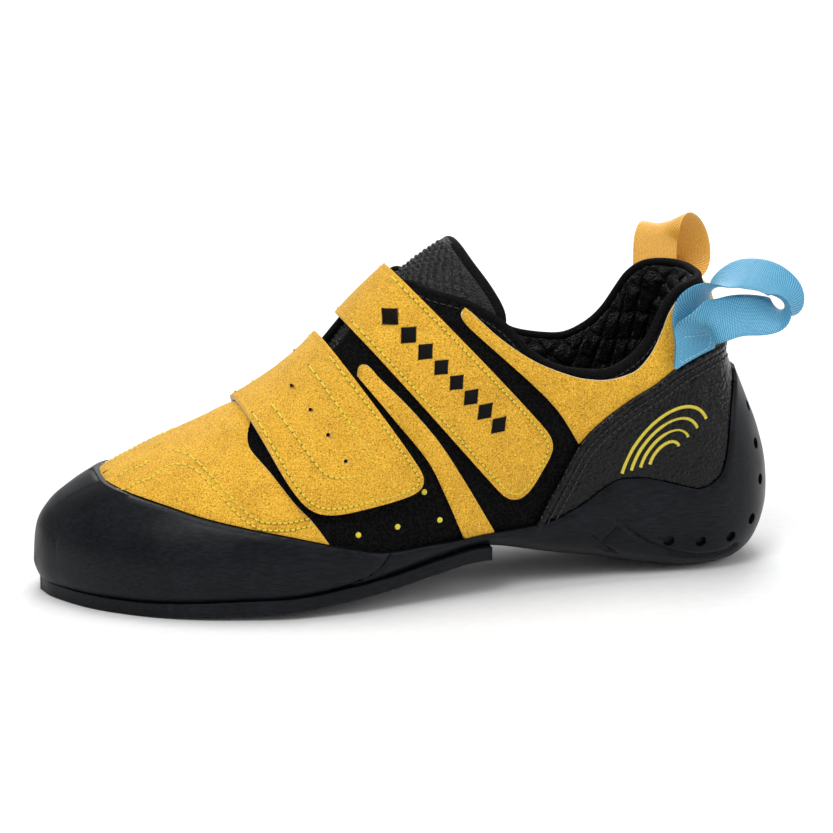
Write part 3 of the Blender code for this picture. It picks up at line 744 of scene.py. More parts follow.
def mesh_textile(name, cell=0.0009, tone=(9, 9, 10), rough=0.9, glint=0.05):
    """Black knitted mesh: small open cells with a slight glint on the yarn; the cells' hollows are
    painted near-black as painted shade and the yarn's ridges painted brighter as painted
    highlight.
    """
    material, tree, shader = shader_material(name, Roughness=rough, Specular_IOR_Level=glint)
    place = coords(tree)
    holes = cells(tree, place, cell)
    yarn = noise(tree, place, 0.0003, 2.0, 0.7)
    # Painted shade and painted highlight: colour follows the bump, near-black in the cells'
    # hollows and brightest on the yarn's ridges.
    dark, pale = linear(3, 3, 4), linear(*tone)
    weave = ramp(tree, holes, (0.15, dark), (0.45, pale), (0.75, tuple(c * 2.2 for c in pale)))
    speckle = ramp(tree, yarn, (0.35, (0.6, 0.6, 0.6)), (0.7, (1.5, 1.5, 1.5)))
    tree.links.new(mixed(tree, 1.0, weave, speckle, "MULTIPLY"), shader.inputs["Base Color"])
    bump(tree, shader, maths(tree, "ADD", holes, maths(tree, "MULTIPLY", yarn, 0.3)), 0.8, 0.0004)
    return material


def webbing(name, colour, pale, deep):
    """Satin webbing: slanting ribs of yarn across the tape."""
    material, tree, shader = shader_material(name, Roughness=0.38, Sheen_Weight=0.10,
                                             Sheen_Roughness=0.4, Specular_IOR_Level=0.45)
    uv = coords(tree, "UV")
    split = tree.nodes.new("ShaderNodeSeparateXYZ")
    tree.links.new(uv, split.inputs[0])
    length, across = split.outputs[0], split.outputs[1]
    slant = maths(tree, "ADD", length, maths(tree, "MULTIPLY", across, 0.45))
    ribs = maths(tree, "SINE", maths(tree, "MULTIPLY", slant, 2 * math.pi / 0.00062))
    yarns = maths(tree, "SINE", maths(tree, "MULTIPLY", across, 2 * math.pi / 0.00050))
    weave = maths(tree, "ADD", maths(tree, "MULTIPLY", ribs, 0.5),
                  maths(tree, "MULTIPLY", yarns, 0.5))
    share = maths(tree, "MULTIPLY_ADD", weave, 0.5, 0.5)
    flecks = noise(tree, coords(tree), 0.0007, 2.0, 0.7)
    # Painted highlight and painted shade: the ribs' raised tops take the pale colour and the
    # grooves between them the deep colour.
    tone = ramp(tree, share, (0.05, deep), (0.45, colour), (0.95, pale))
    speckle = ramp(tree, flecks, (0.3, (0.86, 0.86, 0.86)), (0.7, (1.1, 1.1, 1.1)))
    tree.links.new(mixed(tree, 1.0, tone, speckle, "MULTIPLY"), shader.inputs["Base Color"])
    bump(tree, shader, share, 0.6, 0.0002)
    return material


def thread(name, colour, sheen=0.25, glint=0.4):
    """Twisted thread."""
    material, tree, shader = shader_material(name, Roughness=0.6, Sheen_Weight=sheen,
                                             Specular_IOR_Level=glint)
    fibre = noise(tree, coords(tree), 0.00025, 2.0, 0.7)
    tone = ramp(tree, fibre, (0.3, tuple(c * 0.7 for c in colour)), (0.7, colour))
    tree.links.new(tone, shader.inputs["Base Color"])
    bump(tree, shader, fibre, 0.4, 0.0001)
    return material


FINISHES = {}


def finish_named(name):
    """Each finish is made once and then shared."""
    if name not in FINISHES:
        colours = bpy.context.scene.shoe_colours
        yellow = tuple(colours.suede)
        makers = {
            "suede": lambda: suede("napped_suede", yellow),
            "edge": lambda: raw_edge("raw_suede_edge", linear(236, 216, 160)),
            "rubber": lambda: rubber("climbing_rubber"),
            "leather": lambda: leather("grained_leather"),
            "mesh": lambda: mesh_textile("knitted_mesh"),
            "lining": lambda: mesh_textile("padded_lining", 0.0007, (14, 14, 15), 0.36, 0.26),
            "binding": lambda: mesh_textile("binding_tape", 0.0005, (9, 9, 10), 0.8, 0.08),
            "board": lambda: mesh_textile("insole_cloth", 0.0010, (52, 52, 54)),
            # The webbings' pale and deep colours are their ribs' painted highlight and painted
            # shade.
            "blue": lambda: webbing("blue_webbing_yarn", tuple(colours.outer_loop),
                                    linear(136, 196, 218), linear(18, 100, 148)),
            "yellow": lambda: webbing("yellow_webbing_yarn", tuple(colours.inner_loop),
                                      linear(240, 192, 88), linear(192, 122, 24)),
            "thread": lambda: thread("lemon_thread", linear(228, 206, 58), 0.08),
            # Dark brown painted shade for the needle holes.
            "needle_shade": lambda: thread("needle_hole_shade", linear(136, 100, 30), 0.0),
            "black_thread": lambda: thread("black_thread", linear(24, 24, 25)),
            "embroidery": lambda: thread("black_satin_stitch", linear(7, 7, 7), 0.0, 0.12),
            "blue_thread": lambda: thread("blue_thread", linear(150, 210, 230)),
            "yellow_stitch": lambda: thread("yellow_satin_stitch", linear(226, 208, 52), 0.4),
        }
        FINISHES[name] = makers[name]()
    return FINISHES[name]


# Stitches, cords and pads

def even(line, pitch):
    """Points at equal distances along a line."""
    line = np.asarray(line, float)
    steps = np.linalg.norm(np.diff(line, axis=0), axis=1)
    length = np.concatenate(([0.0], np.cumsum(steps)))
    count = max(int(round(length[-1] / pitch)), 1)
    places = np.linspace(0.0, length[-1], count + 1)
    return np.column_stack([np.interp(places, length, column) for column in line.T])


def eased_line(points, passes=9, pitch=0.0008):
    """A side view line through points, with its corners rounded off."""
    line = even(side_line(points, 6), pitch)
    for _ in range(passes):
        line[1:-1] = (line[:-2] + 2 * line[1:-1] + line[2:]) / 4
    return line


def inset(outline, distance):
    """A closed outline moved to its inside."""
    outline = np.asarray(outline, float)
    closed = np.vstack((outline[-1], outline, outline[0]))
    run = closed[2:] - closed[:-2]
    run /= np.linalg.norm(run, axis=1)[:, None]
    left = np.column_stack((-run[:, 1], run[:, 0]))
    ahead = np.roll(outline, -1, axis=0)
    area = (outline[:, 0] * ahead[:, 1] - ahead[:, 0] * outline[:, 1]).sum()
    return outline + left * distance * (1.0 if area > 0 else -1.0)


class Bundle:
    """Points and faces of many small solids in one mesh."""

    def __init__(self):
        self.points, self.faces = [], []

    def add(self, points, faces):
        start = len(self.points)
        self.points += [tuple(point) for point in points]
        self.faces += [tuple(start + corner for corner in face) for face in faces]

    def cord(self, centres, normals, radius, flat=1.0, sides=8, closed=False, ends=0.35):
        """A tube round a line, with rounded ends; radius may be a row of values."""
        centres, normals = np.asarray(centres, float), np.asarray(normals, float)
        count = len(centres)
        radius = np.broadcast_to(np.asarray(radius, float), (count,)).copy()
        if closed:
            run = np.roll(centres, -1, axis=0) - np.roll(centres, 1, axis=0)
        else:
            run = np.gradient(centres, axis=0)
            radius[0] *= ends
            radius[-1] *= ends
        run /= np.maximum(np.linalg.norm(run, axis=1), 1e-12)[:, None]
        across = np.cross(run, normals)
        across /= np.maximum(np.linalg.norm(across, axis=1), 1e-12)[:, None]
        up = np.cross(across, run)
        points = []
        for number in range(count):
            for corner in range(sides):
                angle = 2 * math.pi * corner / sides
                points.append(centres[number] + radius[number] * (
                    math.cos(angle) * across[number] + flat * math.sin(angle) * up[number]))
        faces = []
        for number in range(count if closed else count - 1):
            near, far = number * sides, ((number + 1) % count) * sides
            for corner in range(sides):
                after = (corner + 1) % sides
                faces.append((near + corner, far + corner, far + after, near + after))
        if not closed:
            faces.append(tuple(range(sides)))
            end = (count - 1) * sides
            faces.append(tuple(range(end + sides - 1, end - 1, -1)))
        self.add(points, faces)

    def stitch(self, start, start_normal, end, end_normal, radius, rise):
        """One stitch: a short thread that comes up, lies along the surface and goes down."""
        shares = np.array([0.0, 0.14, 0.5, 0.86, 1.0])
        lift = np.array([-0.9, 0.55, 0.85, 0.55, -0.9]) * radius * rise
        normals = start_normal + np.outer(shares, end_normal - start_normal)
        normals /= np.linalg.norm(normals, axis=1)[:, None]
        centres = start + np.outer(shares, end - start) + normals * lift[:, None]
        self.cord(centres, normals, radius * np.array([0.7, 0.95, 1.0, 0.95, 0.7]), sides=6,
                  ends=0.6)

    def seam(self, line, way, offset, pitch=0.0018, gap=0.00050, radius=0.00034, rise=1.3,
             within=None, hole_shades=None):
        """A row of stitches on a side view line, left out where it is off the last."""
        line = even(line, pitch)
        place, normal, on_it = spots(line, way, offset)
        for number in range(len(line) - 1):
            if not (on_it[number] and on_it[number + 1]):
                continue
            if within is not None and not within(place[number]):
                continue
            run = place[number + 1] - place[number]
            length = np.linalg.norm(run)
            if length > 4 * pitch or length < 1e-6:
                continue
            step = run / length * gap / 2
            self.stitch(place[number] + step, normal[number], place[number + 1] - step,
                        normal[number + 1], radius, rise)
            # Painted shade: a short dark brown stitch sunk across each needle hole, where the
            # thread goes into the suede.
            if hole_shades is not None:
                hole_shades.stitch(place[number] - step * 1.3, normal[number],
                             place[number] + step * 1.3, normal[number], radius * 0.90, 0.30)

    def build(self, name, finish, slot, degrees=60):
        solid = mesh_object(name, self.points, self.faces)
        solid.data.materials.append(finish_named(finish))
        smooth(solid, degrees)
        return settle(solid, slot)


def line_on(line, way, offset, pitch=0.0015):
    """A side view line laid on a larger last: points and normals."""
    place, normal, on_it = spots(even(line, pitch), way, offset)
    return place[on_it], normal[on_it]


def straight_sides(points, ease=0.0022):
    """A closed side view line with straight sides and small eased corners."""
    corners = np.array([side(along, high) for along, high in points])
    line = []
    for before, corner, after in zip(np.roll(corners, 1, axis=0), corners,
                                     np.roll(corners, -1, axis=0)):
        back, ahead = before - corner, after - corner
        start = corner + back * min(ease / np.linalg.norm(back), 0.4)
        end = corner + ahead * min(ease / np.linalg.norm(ahead), 0.4)
        shares = np.linspace(0.0, 1.0, 7)[:, None]
        line.append((1 - shares) ** 2 * start + 2 * shares * (1 - shares) * corner
                    + shares ** 2 * end)
    line = np.vstack(line)
    return np.vstack((line, line[:1]))


def sky_over(line, high=SKY):
    """The region above a line that runs from heel to toe, as in the solids."""
    start, end = line[0], line[-1]
    behind, before = side(BEHIND, 0)[0], side(BEFORE, 0)[0]
    return [(behind, start[1]), *line, (before, end[1]), (before, high * INSTEP_HEIGHT),
            (behind, high * INSTEP_HEIGHT)]


def opening_over(line, high=SKY):
    """The region above a line that runs from heel to throat, as far as its end."""
    end = line[-1]
    return [(side(BEHIND, 0)[0], line[0][1]), *line, (end[0], high * INSTEP_HEIGHT),
            side(BEHIND, high)]


def place_spine(along):
    """The spine's row for a share of LENGTH."""
    x = HEEL_REACH - along * LENGTH
    return float(np.interp(-x, -SPINE[:, 0], FINE))


RAND_TOP = side_line(RAND_LINE, 6)
COLLAR_TOP = side_line(COLLAR_LINE, 6)
QUARTER_UP = side_line(QUARTER_TOP, 6)
QUARTER_TIP = eased_line(QUARTER_FRONT, 4)
COUNTER_UP = side_line(COUNTER_TOP, 6)
VAMP_BACK = side_line(VAMP_REAR, 6)
SEAM = side_line(RAND_SEAM, 6)
FRONT_STRAP_EDGE = eased_line(FRONT_STRAP)
REAR_STRAP_EDGE = eased_line(REAR_STRAP, 14)
STRIPE_EDGE = eased_line(STRIPE, 6)
TONGUE_EDGE = side_line(TONGUE_SIDE, 6)

VAMP_ROWS = (
    (0.904, 0.418), (0.915, 0.401), (0.912, 0.385), (0.903, 0.383), (0.891, 0.388),
    (0.876, 0.406), (0.854, 0.428), (0.838, 0.453), (0.823, 0.466), (0.807, 0.470),
    (0.798, 0.460), (0.785, 0.430), (0.773, 0.399), (0.758, 0.358), (0.745, 0.329),
    (0.728, 0.312), (0.703, 0.310), (0.669, 0.322),
)
FRONT_BOX = (
    (0.706, 0.689), (0.648, 0.786), (0.583, 0.505), (0.590, 0.470), (0.632, 0.454),
    (0.650, 0.470), (0.675, 0.566),
)
PINHOLES = (
    (0.673, 0.725), (0.664, 0.689), (0.651, 0.641), (0.636, 0.578), (0.619, 0.505),
)
GROOVES = (
    ((0.243, 0.215), (0.204, 0.140), (0.171, 0.096), (0.145, 0.072), (0.120, 0.060),
     (0.098, 0.058), (0.080, 0.066), (0.068, 0.080)),
    ((0.278, 0.170), (0.250, 0.105), (0.226, 0.066), (0.197, 0.038)),
    ((0.185, 0.289), (0.217, 0.250), (0.261, 0.147)),
)
CREASES = (
    ((0.300, 0.400), (0.270, 0.385), (0.235, 0.400)),
    ((0.290, 0.455), (0.255, 0.440), (0.215, 0.455)),
    ((0.120, 0.640), (0.105, 0.590), (0.100, 0.545)),
)
DOTS = ((0.607, 0.269), (0.553, 0.281), (0.494, 0.286), (0.515, 0.385))


def finer(solid, *finishes):
    for finish in finishes:
        solid.data.materials.append(finish_named(finish))
    smooth(solid)


def edge_faces(solid, share=0.55):
    """Gives a piece's cut walls its second finish."""
    mesh = solid.data
    centres = np.array([tuple(face.center) for face in mesh.polygons])
    facing = np.array([tuple(face.normal) for face in mesh.polygons])
    _, normals = depths(centres)
    wall = np.abs((facing * normals).sum(1)) < share
    mesh.polygons.foreach_set("material_index", wall.astype(np.int32))


def bumps(*waves):
    """A relief of soft swells: along, high, reach and rise of each."""
    def raised(points, depth):
        total = np.zeros(len(points))
        for way, along, high, length, height, rise in waves:
            x, z = side(along, high)
            far = ((points[:, 0] - x) / length) ** 2 + ((points[:, 2] - z) / height) ** 2
            there = (points[:, 1] * way > 0) if way else True
            total += np.where(there, rise * np.exp(-far), 0.0)
        return total
    return raised


def troughs(lines, width, deep):
    """A relief of narrow grooves beside side view lines."""
    def lowered(points, depth):
        near = np.full(len(points), 1.0)
        for line in lines:
            near = np.minimum(near, line_distance(points[:, (0, 2)], np.asarray(line)))
        return -deep * np.exp(-(near / width) ** 2)
    return lowered


def together(*functions):
    return lambda points, depth: sum(function(points, depth) for function in functions)


def outer_only(function, outside):
    """A relief for the outer face alone."""
    def kept(points, depth):
        return np.where(depth > outside - 0.0005, function(points, depth), 0.0)
    return kept


def throat_rungs():
    """The throat's opening in plan: x and both of its edges, from the collar to its front."""
    rungs = []
    for along, share in ((THROAT_BACK, 1.0), (0.52, 1.0), (0.60, 0.95), (0.65, 0.8),
                         (THROAT_FRONT, 0.35)):
        x = side(along, 0)[0]
        ridge = float(spine("ridge", x))
        half = THROAT_WIDTH / 2 * share
        rungs.append((x, ridge - half, ridge + half))
    return rungs


def throat_cutter(rungs):
    """A cutter that stands up from the throat's opening."""
    plan = [(x, low) for x, low, _ in rungs] + [(x, high) for x, _, high in rungs[::-1]]
    count = len(plan)
    points = [(x, y, z) for z in (0.5 * INSTEP_HEIGHT, SKY * INSTEP_HEIGHT) for x, y in plan]
    faces = [tuple(range(count)), tuple(range(2 * count - 1, count - 1, -1))]
    faces += [(number, count + number, count + (number + 1) % count, (number + 1) % count)
              for number in range(count)]
    throat = mesh_object("throat", points, faces)
    right_way_out(throat)
    return throat


def make_upper():
    """The knitted upper, its bound collar and throat, and its round tacks."""
    rungs = throat_rungs()
    upper = layer("knit_upper", Last(190, 150), 0.0, WALL, (),
                  (opening_over(COLLAR_TOP), throat_cutter(rungs)))
    finer(upper, "mesh")
    settle(upper, "textile", "upper")
    bundle = Bundle()
    path, normals = collar_path(WALL / 2, rungs)
    bundle.cord(path, normals, bpy.context.scene.shoe_sizes.binding_width / 2, sides=14, ends=0.8)
    bundle.build("collar_binding", "binding", "textile")
    seam = Bundle()
    for way in (OUTER, INNER):
        seam.seam(beside(COLLAR_TOP, 0.0022), way, WALL, pitch=0.0022, radius=0.00016)
    seam.build("collar_seam", "black_thread", "textile")
    dots = Bundle()
    for way in (OUTER, INNER):
        place, normal, _ = spots([side(along, high) for along, high in DOTS], way, WALL)
        for point, facing in zip(place, normal):
            lifts = np.array([[-0.0004], [0.0002], [0.0004]])
            dots.cord(point + facing * lifts, np.tile([0.3, 0.2, 0.9], (3, 1)),
                      (TACK_RADIUS, TACK_RADIUS, 0.00060), sides=20, ends=1.0)
    dots.build("round_tacks", "yellow_stitch", "textile")


def throat_edge(rungs, way, offset):
    """Points along one edge of the throat's opening, from its front to the collar."""
    xs = np.linspace(rungs[-1][0], rungs[0][0], 60)
    column = 1 if way == OUTER else 2
    ys = np.interp(-xs, [-rung[0] for rung in rungs], [rung[column] for rung in rungs])
    places = np.interp(-xs, -SPINE[:, 0], FINE)
    turns = np.linspace(0.10, 0.40, 241)
    found, facing = [], []
    for place, y in zip(places, ys):
        point, normal = on_last(np.full(len(turns), place), turns)
        point = point + normal * offset
        order = np.argsort(point[:, 1])
        turn = np.interp(y, point[order, 1], turns[order])
        point, normal = on_last(place, turn)
        found.append((point + normal * offset)[0])
        facing.append(normal[0])
    return np.array(found), np.array(facing)


def collar_path(offset, rungs):
    """The bound edge: up one side of the throat, round the collar and down the other."""
    halves = []
    for way in (OUTER, INNER):
        edge, edge_normal = throat_edge(rungs, way, offset)
        rim, rim_normal = line_on(COLLAR_TOP, way, offset, 0.0012)
        limit = np.interp(edge[:, 0], np.sort(COLLAR_TOP[:, 0]),
                          COLLAR_TOP[np.argsort(COLLAR_TOP[:, 0]), 1])
        below = edge[:, 2] < limit
        throat_y = np.interp(rim[:, 0], edge[:, 0], edge[:, 1])
        outside = (rim[:, 1] - throat_y) * way > 0
        outside |= rim[:, 0] > edge[-1, 0]
        halves.append((np.vstack((edge[below], rim[outside][::-1])),
                       np.vstack((edge_normal[below], rim_normal[outside][::-1]))))
    path = np.vstack((halves[0][0], halves[1][0][::-1]))
    normal = np.vstack((halves[0][1], halves[1][1][::-1]))
    return rounded(path, normal, 0.0011, 3)


def rounded(path, normal, pitch, passes):
    """A path and its normals at even steps, with its corners eased."""
    both = even(path, pitch)
    steps = np.linalg.norm(np.diff(path, axis=0), axis=1)
    length = np.concatenate(([0.0], np.cumsum(steps)))
    places = np.linspace(0.0, length[-1], len(both))
    facing = np.column_stack([np.interp(places, length, column) for column in normal.T])
    for _ in range(passes):
        for values in (both, facing):
            values[1:-1] = (values[:-2] + 2 * values[1:-1] + values[2:]) / 4
    facing /= np.linalg.norm(facing, axis=1)[:, None]
    return both, facing


def contour_table(way, offset, heights, reach):
    """Points of the last at each height, at even distances from the heel's back."""
    table = []
    for height in heights:
        share = np.linspace(0.0, 1.0, 260)
        xs = SPINE[0, 0] + 0.004 - (share ** 2.0) * 0.150
        line = np.column_stack((xs, np.full(len(xs), height)))
        place, normal, on_it = spots(line, way, offset)
        place = place[on_it]
        start = place[0].copy()
        start[1] = 0.0
        place = np.vstack((start, place))
        steps = np.linalg.norm(np.diff(place, axis=0), axis=1)
        length = np.concatenate(([0.0], np.cumsum(steps)))
        table.append([np.interp(reach, length, column) for column in place.T])
    return np.array(table).transpose(0, 2, 1)


def lining_grid(way, offset, rows):
    """Points inside the collar: columns from the heel's back, and rows down from the rim."""
    reach = np.arange(0.0, 0.118, LINING_ALONG)
    heights = np.linspace(0.030, 0.112, 120)
    table = contour_table(way, offset, heights, reach)
    grid = np.zeros((len(reach), rows, 3))
    for number in range(len(reach)):
        column = table[:, number]
        rim = np.interp(-column[:, 0], -COLLAR_TOP[:, 0], COLLAR_TOP[:, 1])
        fits = np.where(column[:, 2] < rim)[0]
        wanted = column[fits[-1], 2] - LINING_DOWN - np.arange(rows) * LINING_DOWN
        for axis in range(2):
            grid[number, :, axis] = np.interp(wanted, heights, column[:, axis])
        grid[number, :, 2] = wanted
    return grid


def quilting(columns, rows, pad):
    """The rise of each point of the lining: rounded pads in slanting rows, low at both rims."""
    along = (np.arange(columns) - columns // 2)[:, None] * LINING_ALONG
    down = np.arange(rows)[None, :] * LINING_DOWN
    first = np.abs((along / pad + down / pad) % 1.0 - 0.5) * 2
    second = np.abs((along / pad - down / pad) % 1.0 - 0.5) * 2
    rise = np.minimum(1.0 - first, 1.0 - second) * 2.4
    rise = eased(np.clip(rise, 0, 1)) * QUILT_RISE + 0.0002
    to_top, to_foot = np.arange(rows), np.arange(rows)[::-1]
    return rise * np.clip(np.minimum(to_foot / 4, to_top / 6), 0, 1)


def make_lining():
    """The quilted pads inside the collar."""
    rows = int(LINING_DEEP / LINING_DOWN)
    back, front = (np.concatenate((lining_grid(OUTER, offset, rows)[::-1],
                                   lining_grid(INNER, offset, rows)[1:]))
                   for offset in (-0.0002, -0.0014))
    columns = len(back)
    away = front - back
    away /= np.linalg.norm(away, axis=2)[:, :, None]
    pad = bpy.context.scene.shoe_sizes.quilt_pad
    front = front + away * quilting(columns, rows, pad)[:, :, None]
    points = np.vstack((back.reshape(-1, 3), front.reshape(-1, 3)))
    count = columns * rows
    faces = []
    for column in range(columns - 1):
        for row in range(rows - 1):
            a = column * rows + row
            quad = (a, a + 1, a + rows + 1, a + rows)
            faces.append(quad)
            faces.append(tuple(count + corner for corner in quad[::-1]))
    rim = [column * rows for column in range(columns)]
    rim += [(columns - 1) * rows + row for row in range(1, rows)]
    rim += [column * rows + rows - 1 for column in range(columns - 2, -1, -1)]
    rim += [row for row in range(rows - 2, 0, -1)]
    for number, corner in enumerate(rim):
        after = rim[(number + 1) % len(rim)]
        faces.append((corner, after, count + after, count + corner))
    lining = mesh_object("collar_lining", points, faces)
    right_way_out(lining)
    finer(lining, "lining")
    settle(lining, "textile")


def make_tongue():
    """The padded tongue with its raised mesh and bound edge."""
    last = Last(300, 260, place_spine(0.30), place_spine(0.76))
    inside, outside = -GAP - TONGUE, -GAP
    tongue = layer("padded_tongue", last, inside, outside, (TONGUE_EDGE,))

    def pyramids(points, depth):
        cell = bpy.context.scene.shoe_sizes.tongue_cell
        across = points[:, 1] / cell
        along = (points[:, 0] * 0.75 + points[:, 2] * 0.66) / cell
        first = np.abs((along + across) % 1.0 - 0.5) * 2
        second = np.abs((along - across) % 1.0 - 0.5) * 2
        rise = np.minimum(1 - first, 1 - second)
        edge = line_distance(points[:, (0, 2)], TONGUE_EDGE)
        return (rise * 0.0011 - 0.0005) * np.clip((edge - 0.002) / 0.001, 0, 1)
    relief(tongue, outer_only(pyramids, outside))
    finer(tongue, "lining")
    settle(tongue, "textile", "tongue")
    bundle = Bundle()
    paths = []
    for way in (OUTER, INNER):
        place, normal = line_on(TONGUE_EDGE[:-1], way, (inside + outside) / 2, 0.0012)
        high = place[:, 2] > 0.074
        paths.append((place[high], normal[high]))
    path = np.vstack((paths[0][0], paths[1][0][::-1]))
    normal = np.vstack((paths[0][1], paths[1][1][::-1]))
    path, normal = rounded(path, normal, 0.0012, 6)
    bundle.cord(path, normal, TONGUE_BINDING, sides=14, ends=0.5)
    bundle.build("tongue_binding", "binding", "textile")


def make_insole():
    """The insole board with its cloth."""
    last = Last(160, 120)
    points = last.points - last.normals * GAP
    insole = mesh_object("cloth_insole", points, last.faces())
    xs = np.linspace(side(-0.02, 0)[0], side(1.02, 0)[0], 60)
    tops = spine("board", xs) + GAP + BOARD
    outline = [(x, top) for x, top in zip(xs, tops)] + [(xs[-1], -0.02), (xs[0], -0.02)]
    cutter = prism("insole_slab", outline)
    cut_by(insole, cutter, "INTERSECT")
    remove(cutter)
    finer(insole, "board")
    settle(insole, "board", "insole")


def rail(name, way, offset):
    """The last's plan outline on one side, moved outwards, as rows of x and y."""
    line = np.column_stack((SPINE[:, 0], SPINE[:, COLUMNS[name]]))
    run = np.gradient(line, axis=0)
    run /= np.maximum(np.linalg.norm(run, axis=1), 1e-12)[:, None]
    return line + np.column_stack((run[:, 1], -run[:, 0])) * offset * way


def make_outsole():
    """The forefoot plate with eased edges and a step at the arch."""
    rails = [rail("outer", -1.0, SOLE_EDGE), rail("inner", 1.0, SOLE_EDGE)]
    back = side(OUTSOLE_END, 0)[0]
    tip = HEEL_REACH - LENGTH + RAND_OUT - SOLE_EDGE
    rungs, corners = 150, 5
    ring = 4 * corners + 2
    points = []
    for number in range(rungs):
        x = blend(back, tip, math.sin(math.pi / 2 * number / (rungs - 0.4)))
        low = float(spine("sole", x))
        outer, inner = (np.interp(-x, -line[:, 0], line[:, 1]) for line in rails)
        start = 0.0007 * min(1.0, (back - x) / 0.001)
        bevel = min(0.0009, (inner - outer) / 5)
        for edge, way in ((outer, 1), (inner, -1)):
            angles = np.linspace(0, math.pi / 2, corners)
            bottom = [(x, edge + way * bevel * (1 - math.sin(a)),
                       low + bevel * (1 - math.cos(a)) * 0.9) for a in angles]
            top = [(x, edge + way * 0.2 * bevel * (1 - math.cos(a)),
                    low + OUTSOLE + 0.0002 - 0.2 * bevel * (1 - math.sin(a))) for a in angles]
            rows = bottom + top
            points += rows if way > 0 else rows[::-1]
        points += [(x, blend(outer, inner, 0.66), low), (x, blend(outer, inner, 0.33), low)]
    faces = [tuple(range(ring))]
    for number in range(rungs - 1):
        for corner in range(ring):
            after = (corner + 1) % ring
            faces.append((number * ring + corner, number * ring + after,
                          (number + 1) * ring + after, (number + 1) * ring + corner))
    end = (rungs - 1) * ring
    faces.append(tuple(range(end + ring - 1, end - 1, -1)))
    outsole = mesh_object("sole_plate", points, faces)
    right_way_out(outsole)
    finer(outsole, "rubber")
    settle(outsole, "rubber", "outsole")


def rand_band():
    """The side view region of both rands, under their top line and above the sole plate."""
    front_x, step_x = side(1.05, 0)[0], side(OUTSOLE_END, 0)[0] + GAP
    xs = np.linspace(step_x, front_x, 90)
    tread = [(x, height) for x, height in zip(xs, spine("sole", xs) + OUTSOLE + GAP)]
    return [side(BEHIND, 0.0), (step_x, 0.0), *tread, side(1.05, 0.60), *RAND_TOP[::-1],
            side(BEHIND, 0.69)]


def make_rands():
    """The rubber rand round the toe and the moulded heel cup."""
    toe_last = Last(210, 170, place_spine(0.53), float(LAST_ROW))
    toe_side = [*beside(SEAM, -GAP / 2), side(BEFORE, 0.0), side(BEFORE, 0.80), side(0.55, 0.80)]
    toe = layer("toe_rubber", toe_last, SKIN, RAND_OUT, (rand_band(), toe_side))
    edge = soften((RAND_TOP, SEAM), RAND_OUT, 0.0018, 0.0007)
    swell = bumps((OUTER, 0.80, 0.18, 0.030, 0.010, 0.0003),
                  (OUTER, 0.62, 0.14, 0.012, 0.012, 0.0004),
                  (0, 0.90, 0.25, 0.012, 0.012, 0.0004))
    relief(toe, outer_only(together(edge, swell), RAND_OUT))
    finer(toe, "rubber")
    settle(toe, "rubber", "toe_rand")

    heel_last = Last(240, 190, 0.0, place_spine(0.62))
    heel_side = [*beside(SEAM, GAP / 2), side(0.655, -0.20), side(BEHIND, -0.20),
                 side(BEHIND, 0.90), side(0.55, 0.90)]
    heel = layer("heel_rubber", heel_last, SKIN, RAND_OUT, (rand_band(), heel_side),
                 (heel_hole_cutter(),))
    grooves = troughs([side_line(line, 10) for line in GROOVES], 0.00080, 0.00110)
    edge = soften((RAND_TOP, SEAM), RAND_OUT, 0.0018, 0.0007)
    relief(heel, outer_only(together(grooves, edge), RAND_OUT))
    finer(heel, "rubber")
    settle(heel, "rubber", "heel_rand")


def heel_hole_cutter():
    """Blind holes round the heel cup, alike on both sides."""
    bundle = Bundle()
    for way in (OUTER, INNER):
        for along, high in HEEL_HOLES:
            x, z = side(along, high)
            place, normal, _ = spots([(min(x, HOLE_LIMIT), z)], way, RAND_OUT)
            ends = place + normal * np.array([[0.003], [-0.0016]])
            bundle.cord(ends, np.tile([0.3, 0.2, 0.9], (2, 1)), HOLE_DIAMETER / 2, sides=28,
                        ends=1.0)
    cutter = mesh_object("heel_holes", bundle.points, bundle.faces)
    right_way_out(cutter)
    return cutter


def above_rand():
    return sky_over(beside(RAND_TOP, -GAP))


def make_vamp():
    """The suede over the toes, with its twin rows of stitches in a shallow valley."""
    last = Last(210, 190, place_spine(0.60), float(LAST_ROW))
    region = [*VAMP_BACK, side(BEFORE, 0.10), side(BEFORE, 0.90)]
    vamp = layer("vamp_suede", last, SKIN, SUEDE_OUT, (above_rand(), region))
    rows = side_line(VAMP_ROWS, 8)
    valley = troughs((rows,), 0.0016, 0.00045)
    edge = soften((RAND_TOP, VAMP_BACK), SUEDE_OUT, 0.0014, 0.0004)
    swell = bumps((0, 0.86, 0.47, 0.016, 0.010, 0.0005),
                  (OUTER, 0.76, 0.43, 0.010, 0.010, 0.0005),
                  (0, 0.755, 0.60, 0.010, 0.010, 0.0004),
                  (0, 0.80, 0.55, 0.006, 0.012, -0.0004),
                  (0, 0.775, 0.58, 0.004, 0.016, -0.0003))
    relief(vamp, outer_only(together(valley, edge, swell), SUEDE_OUT))
    finer(vamp, "suede", "edge")
    edge_faces(vamp)
    settle(vamp, "suede", "vamp_panel")
    seams, hole_shades = Bundle(), Bundle()
    for way in (OUTER, INNER):
        for shift in (-0.0011, 0.0011):
            seams.seam(beside(rows, shift), way, SUEDE_OUT - 0.00025, hole_shades=hole_shades,
                       within=lambda point: point[0] < -0.1405)
        for shift in (-0.0013, -0.0029):
            line = beside(VAMP_BACK, shift)
            short = line[(line[:, 1] > 0.0575) & (line[:, 1] < 0.0700)]
            seams.seam(short, way, SUEDE_OUT, pitch=0.0016, radius=0.00042, hole_shades=hole_shades)
    seams.build("vamp_seams", "thread", "suede")
    # The vamp's needle holes as painted shade.
    hole_shades.build("vamp_needle_hole_shade", "needle_shade", "suede")


